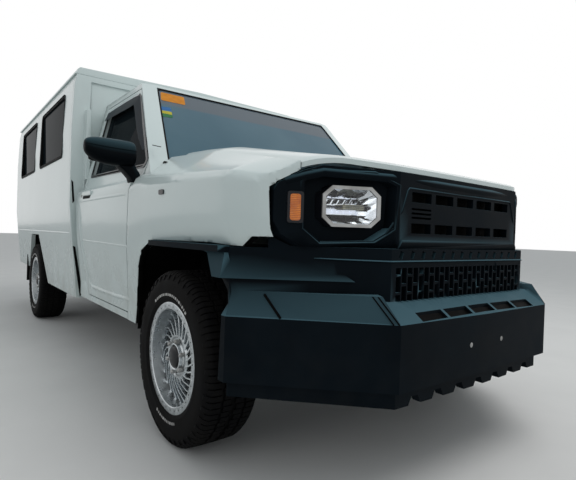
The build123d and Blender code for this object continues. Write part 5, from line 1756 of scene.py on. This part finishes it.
class Stage(bpy.types.Operator):
    """Lay the floor, hang the lamps, set the surroundings and place the camera"""
    bl_idname = "vehicle.stage"
    bl_label = "Stage"

    def execute(self, context):
        chosen = settings().stage
        scene = bpy.context.scene
        scene.view_settings.view_transform = "Standard"
        shape = bmesh.new()
        bmesh.ops.create_grid(shape, x_segments=4, y_segments=4, size=60)
        floor = new_object("studio_floor", shape)
        made = Finish(Roughness=0.9, Specular_IOR_Level=0.1)
        base = tuple(chosen.floor_colour)
        made.into("Base Color", made.mix(made.span(made.noise(3, 6), 0.3, 0.7), base, scaled(base, 0.96)))
        floor.data.materials.append(made.material)
        scene.world = self.surroundings(chosen.sky_level)
        for name, place, target, size in LAMPS:
            self.lamp(name + "_lamp", place, target, size, getattr(chosen, name + "_power"))
        self.camera(chosen.focal_length)
        return {"FINISHED"}

    def surroundings(self, level):
        """Even light, and plain white where the camera, glass and reflections see it."""
        world = bpy.data.worlds.new("studio")
        world.use_nodes = True
        tree = world.node_tree
        tree.nodes.clear()
        make, link = tree.nodes.new, tree.links.new
        out, blend = make("ShaderNodeOutputWorld"), make("ShaderNodeMixShader")
        path = make("ShaderNodeLightPath")
        for number, colour, strength in ((1, (0.90, 0.96, 1.0, 1), level), (2, (1, 1, 1, 1), 1.0)):
            light = make("ShaderNodeBackground")
            light.inputs["Color"].default_value = colour
            light.inputs["Strength"].default_value = strength
            link(light.outputs[0], blend.inputs[number])
        seen = path.outputs["Is Camera Ray"]
        for ray in ("Is Glossy Ray", "Is Transmission Ray"):
            most = make("ShaderNodeMath")
            most.operation = "MAXIMUM"
            link(seen, most.inputs[0])
            link(path.outputs[ray], most.inputs[1])
            seen = most.outputs[0]
        link(seen, blend.inputs["Fac"])
        link(blend.outputs[0], out.inputs["Surface"])
        return world

    def lamp(self, name, place, target, size, power):
        data = bpy.data.lights.new(name, "AREA")
        data.shape, data.size, data.energy = "DISK", size, power
        lamp = bpy.data.objects.new(name, data)
        lamp.location = place
        lamp.rotation_mode = "QUATERNION"
        lamp.rotation_quaternion = (Vector(target) - Vector(place)).to_track_quat("-Z", "Y")
        lamp.visible_glossy = False
        bpy.context.scene.collection.objects.link(lamp)

    def camera(self, focal):
        """The camera as it was solved for the photograph."""
        yaw, pitch, roll = (math.radians(a) for a in (CAMERA_YAW, CAMERA_PITCH, CAMERA_ROLL))
        ahead = Vector((math.sin(yaw) * math.cos(pitch), math.cos(yaw) * math.cos(pitch), math.sin(pitch)))
        right = Vector((math.cos(yaw), -math.sin(yaw), 0))
        down = ahead.cross(right)
        across = right * math.cos(roll) + down * math.sin(roll)
        below = -right * math.sin(roll) + down * math.cos(roll)
        data = bpy.data.cameras.new("photo_camera")
        data.lens, data.sensor_width, data.sensor_fit = focal, 36.0, "HORIZONTAL"
        data.clip_start, data.clip_end = 0.05, 200
        camera = bpy.data.objects.new("photo_camera", data)
        turn = Matrix((across, -below, -ahead)).transposed().to_4x4()
        camera.matrix_world = Matrix.Translation(Vector(CAMERA_PLACE)) @ turn
        bpy.context.scene.collection.objects.link(camera)
        bpy.context.scene.camera = camera


OPERATORS = (PaintedBody, Hood, FrontPanels, Glazing, WindowTrim, HeadLamps, SmallLamps, Mirrors, Tyres,
             Wheels, DoorFittings, Seats, Cabin, LoadSpace, BodyTrim, RunningGear, Stage)


class VehiclePanel(bpy.types.Panel):
    """Buttons for each piece of the vehicle and its settings"""
    bl_idname = "VIEW3D_PT_vehicle"
    bl_label = "Light utility vehicle"
    bl_space_type = "VIEW_3D"
    bl_region_type = "UI"
    bl_category = "Vehicle"

    def draw(self, context):
        chosen = context.scene.vehicle_settings
        for group in (chosen.finish, chosen.wheel, chosen.stage):
            box = self.layout.box()
            for key in group.bl_rna.properties.keys():
                if key not in ("rna_type", "name"):
                    box.prop(group, key)
        for operator in OPERATORS:
            self.layout.operator(operator.bl_idname)


CLASSES = (FinishSettings, WheelSettings, StageSettings, VehicleSettings, *OPERATORS, VehiclePanel)


def register():
    for cls in CLASSES:
        bpy.utils.register_class(cls)
    bpy.types.Scene.vehicle_settings = PointerProperty(type=VehicleSettings, name="Vehicle",
                                                       description="Sizes and colours of the vehicle")


def unregister():
    del bpy.types.Scene.vehicle_settings
    for cls in reversed(CLASSES):
        bpy.utils.unregister_class(cls)


def main():
    register()
    for operator in OPERATORS:
        group, name = operator.bl_idname.split(".")
        getattr(getattr(bpy.ops, group), name)()


if __name__ == "__main__":
    main()
